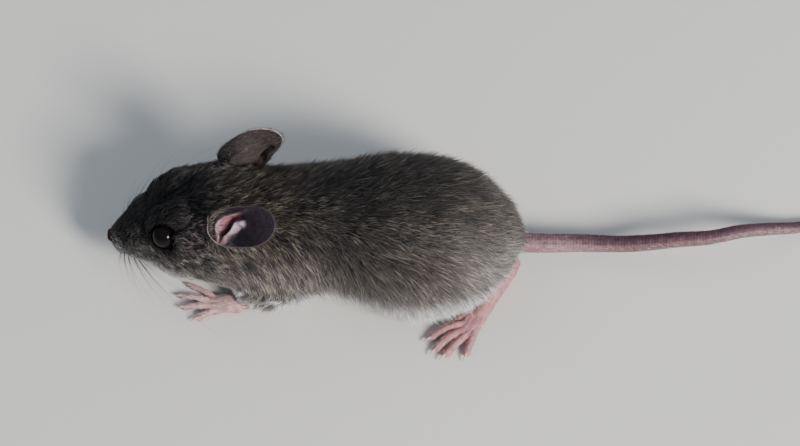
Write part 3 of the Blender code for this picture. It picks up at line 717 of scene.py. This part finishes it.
def skin_tint(points, normals):
    """The colour of every part of the skin."""
    x = points[:, 0]
    mottle = waves(points, 1.7)
    # the feet turn redder and darker on the faces that turn down: partly the skin's own red, partly painted
    # shade
    blush_and_underside_shade = np.clip(0.68 - 0.75 * normals[:, 2] + 0.15 * mottle, 0, 1)
    foot = layered("#cfa1a0", ("#bd8487", step(x, 40, 50)), ("#9b6364", blush_and_underside_shade))
    bare = fade(from_feet(points), 0.5, 1.5)
    # the dark top of the two-coloured tail; the band leans towards the far side, where its darkening is
    # partly painted shade
    above = step(normals[:, 2] + 0.2 * normals[:, 1] + 0.1 * mottle, 0.55, 0.85)
    tail_top = layered("#7a6068", ("#543f49", step(x, 76, 85)))
    tail = layered("#8f7077", ("#73595e", step(x, 78, 88)), (tail_top, 0.9 * above))
    from_tip = distance(points, head_point(0.8, 0, 6.1))
    nose = layered("#392a29", ("#2a1a1b", step(0.75 - from_tip, 0, 0.6)))
    underwool = layered(SLATE, (WHITE_ROOT, white_part(points, normals)))
    colour = layered(underwool, (foot, bare), (tail, step(x, TAIL_FROM - 1.5, TAIL_FROM + 0.5) * (1 - bare)),
                     (nose, fade(x, 1.9, 2.6)))
    for centre in EYES.values():
        apart = distance(points, centre)
        colour = layered(colour, ("#0b0909", fade(apart, EYE_RADIUS + 0.5, EYE_RADIUS + 1.1)))
    return colour


def add_node(material, kind, inputs=None, stops=None, **settings):
    """Adds a node: its inputs are values or other nodes' outputs, and stops are a ramp's two colours."""
    node = material.node_tree.nodes.new("ShaderNode" + kind)
    for key, value in settings.items():
        setattr(node, key, value)
    for key, value in (inputs or {}).items():
        if isinstance(value, bpy.types.NodeSocket):
            material.node_tree.links.new(value, node.inputs[key])
        else:
            node.inputs[key].default_value = value
    if stops:
        for element, (position, colour) in zip(node.color_ramp.elements, stops):
            element.position = position
            element.color = (*colour, 1)
    return node


def new_material(name):
    """An empty material."""
    material = bpy.data.materials.new(name)
    material.use_nodes = True
    material.node_tree.nodes.clear()
    return material


def finish_with(material, inputs):
    """Gives a material its shader, with these inputs, and its output."""
    shader = add_node(material, "BsdfPrincipled", inputs)
    add_node(material, "OutputMaterial", {"Surface": shader.outputs[0]})


def grained(material, scale, detail, dark, light):
    """Where a point is, its painted tint, and that tint with a fine dark and light grain over it."""
    where = add_node(material, "TexCoord").outputs["Object"]
    tint = add_node(material, "VertexColor", layer_name="tint").outputs["Color"]
    grain = add_node(material, "TexNoise", {
        "Vector": where, "Scale": scale, "Detail": detail, "Roughness": 0.6})
    tone = add_node(material, "ValToRGB", {"Fac": grain.outputs["Fac"]}, ((0.3, dark), (0.7, light)))
    toned = add_node(material, "Mix", {0: 1.0, 6: tint, 7: tone.outputs["Color"]},
                     data_type="RGBA", blend_type="MULTIPLY")
    return where, tint, toned.outputs[2]


def new_piece(name, mesh, material, smooth=True):
    """An object of this mesh and material, which moves with the animal."""
    mesh.polygons.foreach_set("use_smooth", [smooth] * len(mesh.polygons))
    mesh.materials.clear()
    mesh.materials.append(material)
    piece = in_scene(name, mesh)
    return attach(piece, "root")


# Living skin: soft, slightly moist and translucent, so light bleeds red through it; creases 0.25 mm
# apart on the feet, and rings of scales 0.5 mm apart round the tail.
SCALE_RINGS = 0.0005
bare_skin = new_material("bare_living_skin")
where, tint, mottled = grained(bare_skin, 900.0, 4.0, (0.72, 0.68, 0.68), (1.15, 1.12, 1.1))
creases = add_node(bare_skin, "TexVoronoi", {"Vector": where, "Scale": 4000.0}, feature="DISTANCE_TO_EDGE")
crease_lines = add_node(
    bare_skin, "ValToRGB", {"Fac": creases.outputs["Distance"]}, ((0.0, (0, 0, 0)), (0.25, (1, 1, 1))))
rings = add_node(bare_skin, "TexWave", {
    "Vector": where, "Scale": 2 * math.pi / (20 * SCALE_RINGS), "Distortion": 1.5, "Detail": 1.0},
    bands_direction="X")
along_body = add_node(bare_skin, "SeparateXYZ", {"Vector": where})
tail_from = float(in_frame((TAIL_FROM, 0, 0))[0])
on_tail = add_node(bare_skin, "Math", {0: along_body.outputs["X"], 1: tail_from}, operation="GREATER_THAN")
relief = add_node(bare_skin, "Mix", {
    0: on_tail.outputs[0], 2: crease_lines.outputs["Color"], 3: rings.outputs["Fac"]}, data_type="FLOAT")
raised = add_node(bare_skin, "Bump", {"Height": relief.outputs[0], "Strength": 0.5, "Distance": 0.00008})
shine = add_node(bare_skin, "RGBToBW", {"Color": tint})
finish_with(bare_skin, {
    "Base Color": mottled, "Normal": raised.outputs["Normal"], "Roughness": 0.48, "IOR": 1.4,
    "Specular IOR Level": shine.outputs["Val"],
    "Subsurface Weight": 0.22, "Subsurface Radius": (0.9, 0.35, 0.2), "Subsurface Scale": 0.0006,
    "Coat Weight": 0.06, "Coat Roughness": 0.35})

under = points_of(skin_mesh)
under_normals = normals_of(skin_mesh)
paint(skin_mesh, skin_tint(under, under_normals))
skin = new_piece("skin", merged([skin_mesh.copy(), ears["left"].copy(), ears["right"].copy()]), bare_skin)
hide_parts(*furred_nodes, *foot_nodes, *tail_nodes, "ear_left", "ear_right")


# ---- The coat ------------------------------------------------------------------------
# The young mouse's grey coat: fine hairs, slate at the root, in wisps that lie from the nose to the tail
# and slant down the flanks. Each wisp is a solid three-sided blade that follows the skin under it.

rng = np.random.default_rng(7)
TUFT_DENSITY = 27  # on each square millimetre of the trunk
MOST_TUFTS = 17500  # in one piece
CLUMP = 6  # wisps that lean together
PATCH = 0.003  # that each wisp has on the coat's map
MID_HEIGHT = 8.0  # of the trunk, the middle that the map goes round


def surface_of(mesh):
    """A mesh as arrays: vertices, their normals, triangles, and the middle and the area of each triangle."""
    mesh.calc_loop_triangles()
    corners = np.empty(len(mesh.loop_triangles) * 3, np.int32)
    mesh.loop_triangles.foreach_get("vertices", corners)
    corners = corners.reshape(-1, 3)
    points = points_of(mesh)
    a, b, c = points[corners].transpose(1, 0, 2)
    areas = np.linalg.norm(np.cross(b - a, c - a), axis=1) / 2
    return points, normals_of(mesh), corners, (a + b + c) / 3, areas


body_surface = surface_of(skin_mesh)
_, _, corners, middles, areas = body_surface
surface = BVHTree.FromPolygons(under.tolist(), corners.tolist())


def furred(points):
    """1 where the coat grows, 0 on the bare parts and over the eyes and ear holes."""
    x = points[:, 0]
    grows = step(from_feet(points), 0.5, 1.6) * step(x, 0.9, 1.7) * fade(x, TAIL_FROM - 0.2, TAIL_FROM + 0.6)
    for side in SIDES:
        grows *= step(distance(points, EYES[side]), EYE_RADIUS + 0.2, EYE_RADIUS + 0.4)
        reach, aside, out = in_ear(side, points).T
        gap = ear_cup(side, reach, aside) - out
        beneath = fade(to_rim(side, reach, aside), 0.86, 0.98) * fade(gap, 0.6, 1.1)
        grows *= 1 - beneath * (gap > -2)
    return grows


def lie(points, normals):
    """The way the coat lies at each point: nose to tail, down the flanks, down the legs, round the eyes."""
    x, _, z = points.T
    down = np.interp(z, (3, 8, 13, 18, 22), (1.7, 1.6, 1.1, 0.5, 0.1)) * step(normals[:, 2], -0.9, -0.3)
    way = np.stack((np.ones_like(x), np.zeros_like(x), -down), axis=1)
    from_nose = unit(points - head_point(-1.0, 0, 6.5)) + (0, 0, -0.12)
    way = mix(way, from_nose, fade(x, 16, 28))
    way = mix(way, unit(np.array((73, -0.9, 3.5)) - points), step(x, 60, 68))
    low = fade(z, 4.0, 6.5) * fade(x, 33, 36) * step(x, 18, 24)
    way = mix(way, np.array((-1, 0, -0.7)), low)
    for side in SIDES:
        ear_front = np.array(EAR_BASE[side]) + ear_axes(side)[0] * 2.6
        for centre, near, far in ((EYES[side], EYE_RADIUS + 0.3, EYE_RADIUS + 2.6), (ear_front, 3.0, 5.5)):
            beside = fade(distance(points, centre), near, far)
            way = way + unit(points - centre) * beside[:, None] * 0.9
    swirl = (waves(points, 9), waves(points + 50, 8), waves(points + 90, 7))
    way = way + 0.16 * np.stack(swirl, axis=1)
    return square_to(normals, way)


def on_skin(points):
    """The nearest places on the skin, and its normals there."""
    places, _, triangles, _ = zip(*(surface.find_nearest(point) for point in points.tolist()))
    return np.array(places), unit(under_normals[corners[list(triangles)]].mean(axis=1))


def scattered(on, weights, count):
    """Random places on a surface, as many as count, thickest where the triangles' weights are high."""
    points, normals, corners, _, _ = on
    picked = rng.choice(len(corners), count, p=weights / weights.sum())
    u, v = rng.random((2, count))
    over = u + v > 1
    u[over], v[over] = 1 - u[over], 1 - v[over]
    share = np.stack((1 - u - v, u, v), axis=1)[..., None]
    places = np.sum(points[corners[picked]] * share, axis=1)
    return places, unit(np.sum(normals[corners[picked]] * share, axis=1))


def turned_about(vectors, axes, angles):
    """Vectors turned about axes that they stand square to."""
    return vectors * np.cos(angles)[:, None] + np.cross(axes, vectors) * np.sin(angles)[:, None]


BLADE_FACES = ((0, 1, 4), (0, 4, 3), (1, 2, 5), (1, 5, 4), (2, 0, 3), (2, 3, 5),
               (3, 4, 6), (4, 5, 6), (5, 3, 6), (2, 1, 0))


def blades(name, lines, across, width, colours, maps):
    """Solid three-sided blades: each line is a root, a middle and a tip."""
    count = len(lines)
    ahead = unit(lines[:, 1] - lines[:, 0])
    across = square_to(ahead, across)
    third = np.cross(ahead, across)
    rows = np.empty((count, 7, 3))
    for ring, (at, size) in enumerate(((0, 0.8), (1, 1.0))):
        for corner in range(3):
            angle = corner * 2 * math.pi / 3 + math.pi / 2
            offset = across * math.cos(angle) + third * math.sin(angle) * 0.6
            rows[:, ring * 3 + corner] = lines[:, at] + offset * (width * size / 2)[:, None]
    rows[:, 6] = lines[:, 2]
    rows[..., 2] = np.maximum(rows[..., 2], CLEAR)
    faces = (np.array(BLADE_FACES)[None] + np.arange(count)[:, None, None] * 7).reshape(-1, 3)
    mesh = bpy.data.meshes.new(name)
    mesh.vertices.add(count * 7)
    put(mesh.vertices, "co", in_frame(rows.reshape(-1, 3)))
    mesh.loops.add(len(faces) * 3)
    mesh.loops.foreach_set("vertex_index", faces.ravel())
    mesh.polygons.add(len(faces))
    mesh.polygons.foreach_set("loop_start", np.arange(0, len(faces) * 3, 3))
    mesh.update(calc_edges=True)
    paint(mesh, np.repeat(colours, (3, 3, 1), axis=1).reshape(-1, 3))
    corner_uv = np.array(((0, 0), (0.5, 0), (1, 0), (0, 0.5), (0.5, 0.5), (1, 0.5), (0.5, 1))) * PATCH
    uv = (maps[:, None] + corner_uv[None]).reshape(-1, 2)[faces.ravel()]
    put(mesh.uv_layers.new(name="OFBake").data, "uv", uv)
    return new_piece(name, mesh, fur, smooth=False)


def wisps(roots, normals, long, high):
    """Lines of wisps that follow the skin: root, middle and tip, and the direction across each."""
    count = len(roots)
    way = turned_about(lie(roots, normals), normals, rng.normal(0, 0.26, count))
    seeds = np.arange(0, count, CLUMP)
    tree = KDTree(len(seeds))
    for i, seed in enumerate(seeds):
        tree.insert(roots[seed], i)
    tree.balance()
    own = np.array([seeds[tree.find(root)[1]] for root in roots.tolist()])
    lean = rng.normal(0, 0.2, count)[own]
    rise = (0.8 + 0.35 * rng.random(count))[own]
    way = turned_about(way, normals, lean)
    middle, middle_normal = on_skin(roots + way * (long * 0.5)[:, None])
    way_on = turned_about(lie(middle, middle_normal), middle_normal, lean)
    tip, tip_normal = on_skin(middle + way_on * (long * 0.5)[:, None])
    middle = middle + middle_normal * (high * rise * 0.68)[:, None]
    tip = tip + tip_normal * (high * rise * rng.uniform(0.6, 1.45, count))[:, None]
    gather = 0.3 * rng.random(count)[:, None]
    tip = tip + (tip[own] + (roots - roots[own]) * 0.3 - tip) * gather
    middle = middle + (middle[own] + (roots - roots[own]) * 0.6 - middle) * gather * 0.6
    lines = np.stack((roots - normals * 0.05, middle, tip), axis=1)
    return lines, np.cross(way, normals), own


def coat_colours(roots, normals, own, guard):
    """Root, middle and tip colours of wisps: the skin's markings, with painted shade over the crown and
    above the eyes, each wisp a little its own.
    """
    count, x = len(roots), roots[:, 0]
    white, dusky = white_part(roots, normals), dusky_part(roots)
    each = rng.normal(0, 1, count) * 0.65 + rng.normal(0, 1, count)[own] * 0.75
    each = each * np.interp(x, (0, 9, 15, 28, 36), (1.1, 1.8, 2.2, 1.9, 1.0))
    root = layered(SLATE, (WHITE_ROOT, white))
    pale = fade(roots[:, 2] - np.interp(x, *PALE_LINE) + waves(roots, 5), 0.5, 6.5)
    pale = np.clip(0.85 * pale + 0.8 * step(x, 54, 68), 0, 0.9)
    # the crown, ahead of the ears: its dusky hair is laid near black, partly painted shade over the head
    crown = fade(x, 15.5, 19)
    band = layered(GREY_BROWN, (PALE_GREY, pale), (DUSKY, 0.85 * dusky * (1 - 0.6 * pale)),
                   ("#0d0c0d", 0.95 * dusky * crown),
                   ("#594b3d", 0.62 * dusky * bump(x, 24.5, 7.0) * step(x, 16, 19)),
                   ("#42342f", 0.6 * fade(x, 2.5, 7) * (1 - white)))
    mask = np.zeros(count)
    for side in SIDES:
        bare = EAR_BASE[side] + np.array((-3.4, SIDES[side] * 0.4, -2.8))
        band = layered(band, ("#6a5962", 0.85 * bump(distance(roots, bare), 0, 2.5)))
        centre, _, forward, up = eye_frame(side)
        # a dark ring of hair round each eye; above the eye it reaches further, and there it is painted shade
        # over the brow
        above = step((roots - centre) @ (up + 0.4 * forward), -0.8, 1.8)
        from_lids = distance(roots, centre) - EYE_RADIUS
        mask = np.maximum(mask, fade(from_lids, 0.4 + 1.1 * above, 1.3 + 3.0 * above))
    dark = guard * (1 - white)
    middle = layered(root, (band, 0.55), (WHITE_TIP, 0.75 * white), ("#1b191a", 0.8 * dark),
                     ("#0f0d0e", 0.9 * mask))
    light = np.clip(each * 0.3, 0, 0.7) * (1 - white) * (1 - 0.75 * (dusky * crown))
    deep = np.clip(-each * 0.45 + 0.1, 0, 0.85) * (1 - white)
    tip = layered(band, ("#a0937f", light), (WHITE_TIP, white), ("#0f0e0f", deep),
                  ("#151314", 0.85 * dark), ("#151213", 0.85 * mask))
    bright = (np.exp(0.24 * each) * (1 + 0.28 * bump(x, 33, 6)))[:, None]
    return np.clip(np.stack((root, middle * bright, tip * bright), axis=1), 0.002, 0.9)


def on_map(u, v):
    """Places on the coat's map, which is one unit square."""
    return np.clip(np.stack((u, v), axis=1), 0, 1) * (1 - PATCH)


def coat_map(roots, low, high):
    """Where each wisp's root lies on the skin unrolled: along the body, and round it."""
    along = (roots[:, 0] - low) / (high - low)
    spine = np.interp(roots[:, 0], *SPINE)
    turn = np.arctan2(roots[:, 1] - spine, roots[:, 2] - MID_HEIGHT)
    return on_map(along, turn / (2 * math.pi) + 0.5)


# Mouse fur: fine, dry hairs whose scales scatter light, so a soft sheen along them and no gloss.
fur = new_material("mouse_fur")
_, _, hair_tone = grained(fur, 2500.0, 3.0, (0.78, 0.77, 0.76), (1.2, 1.19, 1.17))
finish_with(fur, {
    "Base Color": hair_tone, "Roughness": 0.55, "IOR": 1.55, "Specular IOR Level": 0.35,
    "Sheen Weight": 0.12, "Sheen Roughness": 0.4})

COAT = (  # piece, where it starts and ends behind the nose
    ("coat_head", 0, 17), ("coat_nape", 17, 26), ("coat_shoulders", 26, 35), ("coat_chest", 35, 43),
    ("coat_waist", 43, 50), ("coat_loins", 50, 57), ("coat_haunches", 57, 63.5), ("coat_rump", 63.5, 72),
)
growth = areas * furred(middles)
closer = np.interp(middles[:, 0], (0, 6, 14, 24, 72), (3.2, 2.4, 1.6, 1.0, 1.0))
for name, start, end in COAT:
    weights = growth * closer * ((middles[:, 0] >= start) & (middles[:, 0] < end))
    count = int(min(weights.sum() * TUFT_DENSITY, MOST_TUFTS))
    roots, normals = scattered(body_surface, weights, count)
    away = from_feet(roots)
    guard = (rng.random(count) < 0.07) * step(away, 3, 8)
    high = coat_depth(roots, away)
    long = (0.4 + 1.5 * high) * rng.uniform(0.7, 1.3, count) * (1 + 0.35 * guard)
    lines, across, own = wisps(roots, normals, long, high * (1 + 0.2 * guard))
    width = (0.065 + 0.013 * long) * rng.uniform(0.8, 1.25, count) * (1 - 0.3 * guard)
    colours = coat_colours(roots, normals, own, guard)
    coat = blades(name, lines, across, width, colours, coat_map(roots, start, end))


# ---- Down on ears, feet and tail -----------------------------------------------------
# Very short, stiff, scattered hairs: grey-brown over both faces of the ears, silver on the feet, and
# a sparse bristle between the tail's scales, dark above and white below.

EAR_DOWN, EAR_FRINGE, FOOT_DOWN, TAIL_DOWN = 4200, 650, 800, 4200  # hairs
AROUND = 0.4  # how far past a foot's box its down may grow


def down(name, roots, normals, way, long, high, wide, colours, maps, slot="coat"):
    """A thin cover of short straight hairs that lie one way, each a little lighter or darker."""
    count = len(roots)
    ahead = square_to(normals, way + rng.normal(0, 0.18, (count, 3)))
    length = long * rng.uniform(0.7, 1.25, count)[:, None]
    middle = roots + ahead * length * 0.5 + normals * high * 0.75
    tip = roots + ahead * length + normals * high * rng.uniform(0.7, 1.3, count)[:, None]
    lines = np.stack((roots - normals * 0.03, middle, tip), axis=1)
    bright = rng.uniform(0.5, 1.6, (count, 1))
    banded = np.stack([colours * bright * share for share in (0.8, 1.0, 1.15)], axis=1)
    hairs = blades(name, lines, np.cross(ahead, normals), np.full(count, wide), banded, maps)


def ear_map(side, roots, out):
    """Where each root lies on an ear laid flat, its lining on one half of the map."""
    reach, aside, _ = in_ear(side, roots).T
    spread = np.stack(((reach + 1) / 14, (aside / 10 + 0.5) * 0.4 + 0.05 + out * 0.5), axis=1)
    return np.clip(spread, 0, 1 - PATCH)


for side in SIDES:
    leaf = surface_of(ears[side])
    along, _, out = ear_axes(side)
    reach, aside, _ = in_ear(side, leaf[3]).T
    faces_out = np.sum(leaf[1][leaf[2]].mean(axis=1) * out, axis=1) > 0
    density = np.where(faces_out, 0.25 + 0.75 * step(reach, 5.5, 8), 1.0 + 1.2 * fade(reach, 1, 5))
    roots, normals = scattered(leaf, leaf[4] * density, EAR_DOWN)
    lining = normals @ out > 0
    colours = np.where(lining[:, None], linear("#3d363b"), linear("#5c534d"))
    down(f"down_ear_{side}", roots, normals, along, 0.8, 0.12, 0.035, colours, ear_map(side, roots, lining))
    front = step(to_rim(side, reach, aside), 0.84, 0.92) * fade(reach, 1.5, 4.0)
    root_of_back = (1 - faces_out) * fade(reach, 2.0, 4.5)
    roots, normals = scattered(leaf, leaf[4] * np.maximum(front, root_of_back), EAR_FRINGE)
    down(f"fringe_ear_{side}", roots, normals, along, 1.2, 0.25, 0.038, linear("#7f766c"),
         ear_map(side, roots, normals @ out > 0))

for name in FEET_STAND:
    low, high = (in_mm(corner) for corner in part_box(name))
    inside = np.all((middles > low - AROUND) & (middles < high + AROUND), axis=1)
    inside &= under_normals[corners].mean(axis=1)[:, 2] > 0.1
    roots, normals = scattered(body_surface, areas * inside, FOOT_DOWN)
    spread = (roots - low + AROUND) / (high - low + 2 * AROUND)
    down(f"down_{name}", roots, normals, on_foot(name, 1, 0, 0) - on_foot(name, 0, 0, 0), 0.8, 0.12, 0.035,
         linear("#dccbc9"), on_map(spread[:, 0], spread[:, 1]), "pale_coat")

on_tail = step(middles[:, 0], TAIL_FROM - 0.5, TAIL_FROM + 0.5)
roots, normals = scattered(body_surface, areas * on_tail, TAIL_DOWN)
# dark above and pale below like the tail's skin; the band leans towards the far side, where its darkening is
# partly painted shade
above = step(normals[:, 2] + 0.2 * normals[:, 1], 0.45, 0.8)
round_tail = np.arctan2(normals[:, 1], normals[:, 2]) / (2 * math.pi) + 0.5
down("down_tail", roots, normals, np.array((1.0, 0, 0)), 0.85, 0.1, 0.03,
     layered("#bfaaab", ("#43343a", above)), on_map((roots[:, 0] - TAIL_FROM + 2) / 70, round_tail))


# ---- Whiskers ------------------------------------------------------------------------
# Long tapering bristles in rows on the swelling of each upper lip, shorter in front, and one over each
# eye. Dark and stiff at the root, pale and thin as they sweep back.

bristle = new_material("whisker_bristle")
along_whisker = add_node(bristle, "VertexColor", layer_name="tint").outputs["Color"]
finish_with(bristle, {"Base Color": along_whisker, "Roughness": 0.3, "IOR": 1.55})


def whisker(start, way, long, thick, end="#b9b2ab"):
    """A bristle that grows from the skin near start, then droops and sweeps back along its length."""
    at, normal = on_skin(np.array([start]))
    share = np.linspace(0, 1, 12)[:, None]
    line = at[0] - normal[0] * 0.2 + unit(way) * long * share + np.array((0.42, 0, -0.1)) * long * share**2
    line[:, 2] = np.maximum(line[:, 2], 0.1)
    mesh = tube(line, thick * (1 - 0.8 * share[:, 0]) / 2, sides=5)
    span = line[-1] - line[0]
    along = np.clip((points_of(mesh) - line[0]) @ span / (span @ span), 0, 1)
    paint(mesh, layered("#2c2422", (end, step(along, 0.1, 0.6))))
    return mesh


for side, sign in SIDES.items():
    bristles = []
    for row, height in enumerate((4.9, 5.5, 6.1, 6.7)):
        for column in range(5):
            start = head_point(2.4 + 0.8 * column + 0.15 * row, sign * 4, height)
            way = np.array((-0.35 + 0.22 * column, sign, 0.28 * (row - 1.3))) + rng.normal(0, 0.07, 3)
            bristles.append(whisker(start, way, 4.5 + 2.9 * column + rng.uniform(-0.6, 0.6), 0.08))
    over_eye = head_point(8.8, sign * 4.6, 15.5)
    bristles.append(whisker(over_eye, np.array((0.1, sign * 0.55, 0.8)), 6.0, 0.045, "#332b29"))
    whiskers = new_piece(f"whiskers_{side}", merged(bristles), bristle)


# ---- The eyes ------------------------------------------------------------------------
# Large dark globes, wet and clear at the surface, so they mirror the lights in a small sharp point.

wet_eye = new_material("wet_dark_eye")
deep = add_node(wet_eye, "TexNoise", {"Scale": 700.0, "Detail": 2.0})
depths = add_node(wet_eye, "ValToRGB", {"Fac": deep.outputs["Fac"]},
                  ((0.35, linear("#0a080a")), (0.75, linear("#171112"))))
finish_with(wet_eye, {
    "Base Color": depths.outputs["Color"], "Roughness": 0.06, "IOR": 1.376, "Specular IOR Level": 0.2})
for side in SIDES:
    globe = new_piece(f"globe_{side}", ball(EYES[side], (EYE_RADIUS,) * 3, 64), wet_eye)
    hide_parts(f"eye_{side}")


# ---- The claws -----------------------------------------------------------------------
# Small curved claws of thin horn that grow out of the toe tips: pinkish and clear over the quick, and
# smooth, so that each catches a line of light.

claw_horn = new_material("thin_claw_horn")
streaks = add_node(claw_horn, "TexNoise", {"Scale": 3000.0, "Detail": 3.0, "Distortion": 1.0})
horn_tone = add_node(claw_horn, "ValToRGB", {"Fac": streaks.outputs["Fac"]},
                     ((0.3, linear("#a98783")), (0.7, linear("#d5bdb5"))))
finish_with(claw_horn, {
    "Base Color": horn_tone.outputs["Color"], "Roughness": 0.28, "IOR": 1.54, "Subsurface Weight": 0.15,
    "Subsurface Radius": (0.8, 0.5, 0.4), "Subsurface Scale": 0.0003})

for name, (_, _, toes) in FEET_STAND.items():
    kind, side = ("hind" if name.startswith("hind") else "fore"), side_of(name)
    claws, stands_for = [], []
    for number, toe in enumerate(toes, 1):
        node = f"claw_{kind}_{side}_{number}"
        low, high = (in_mm(corner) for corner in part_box(node))
        line = toe_line(name, toe)
        ahead = unit((line[-1] - line[-4]) * (1, 1, 0))
        middle = (low + high) / 2
        reach = abs(ahead[:2]) @ (high - low)[:2] / 2
        point = np.append((middle + ahead * reach)[:2], low[2] + 0.1)
        knuckle = line[-1] + ahead * 0.4 + (0, 0, 0.3)
        arch = [line[-1] + (0, 0, 0.15), knuckle, knuckle * 0.45 + point * 0.55 + (0, 0, 0.12), point]
        claws.append(tube(arch, (0.2, 0.24, 0.16, 0.06), sides=10))
        stands_for.append(node)
    grown = new_piece(f"claws_{kind}_{side}", merged(claws), claw_horn)
    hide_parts(*stands_for)


# ---- The stand -----------------------------------------------------------------------
# A plain pale table, and the soft lights of a studio.

pale_table = new_material("pale_table")
finish_with(pale_table, {"Base Color": (*linear("#dedbd5"), 1), "Roughness": 0.8})
table_mesh = bpy.data.meshes.new("table")
table_mesh.from_pydata([(-3, -3, 0), (3, -3, 0), (3, 3, 0), (-3, 3, 0)], [], [(0, 1, 2, 3)])
table_mesh.materials.append(pale_table)
table = in_scene("table", table_mesh)

LOOKS_AT = in_frame((49.64, 5.954, 0))
TILT = math.radians(58)  # how far above level the camera stands
CAMERA_AWAY = 0.6
VIEW_ACROSS = 0.136
camera_data = bpy.data.cameras.new("camera")
camera = in_scene("camera", camera_data)
camera.location = Vector(LOOKS_AT) + Vector((0, -math.cos(TILT), math.sin(TILT))) * CAMERA_AWAY
camera.rotation_euler = (math.pi / 2 - TILT, 0, 0)
camera_data.lens = camera_data.sensor_width * CAMERA_AWAY / VIEW_ACROSS
camera_data.clip_start = 0.01
bpy.context.scene.camera = camera


def softbox(name, place, size, power, colour, mirrored=True):
    """A square soft light that faces the animal, and may be mirrored in its eyes."""
    data = bpy.data.lights.new(name, "AREA")
    data.size = size
    data.energy = power
    data.color = colour
    light = in_scene(name, data)
    light.location = place
    light.rotation_euler = (-Vector(place)).to_track_quat("-Z", "Y").to_euler()
    light.visible_glossy = mirrored


softbox("key_light", (0.58, -0.6, 0.52), 0.28, 17.0, (1.0, 0.98, 0.95))
softbox("fill_light", (-0.6, 0.3, 0.9), 0.9, 2.0, (0.88, 0.94, 1.0), mirrored=False)
world = bpy.data.worlds.new("studio")
world.use_nodes = True
sky = world.node_tree.nodes["Background"].inputs
sky["Color"].default_value = (0.72, 0.83, 1.0, 1)
sky["Strength"].default_value = 0.36
bpy.context.scene.world = world
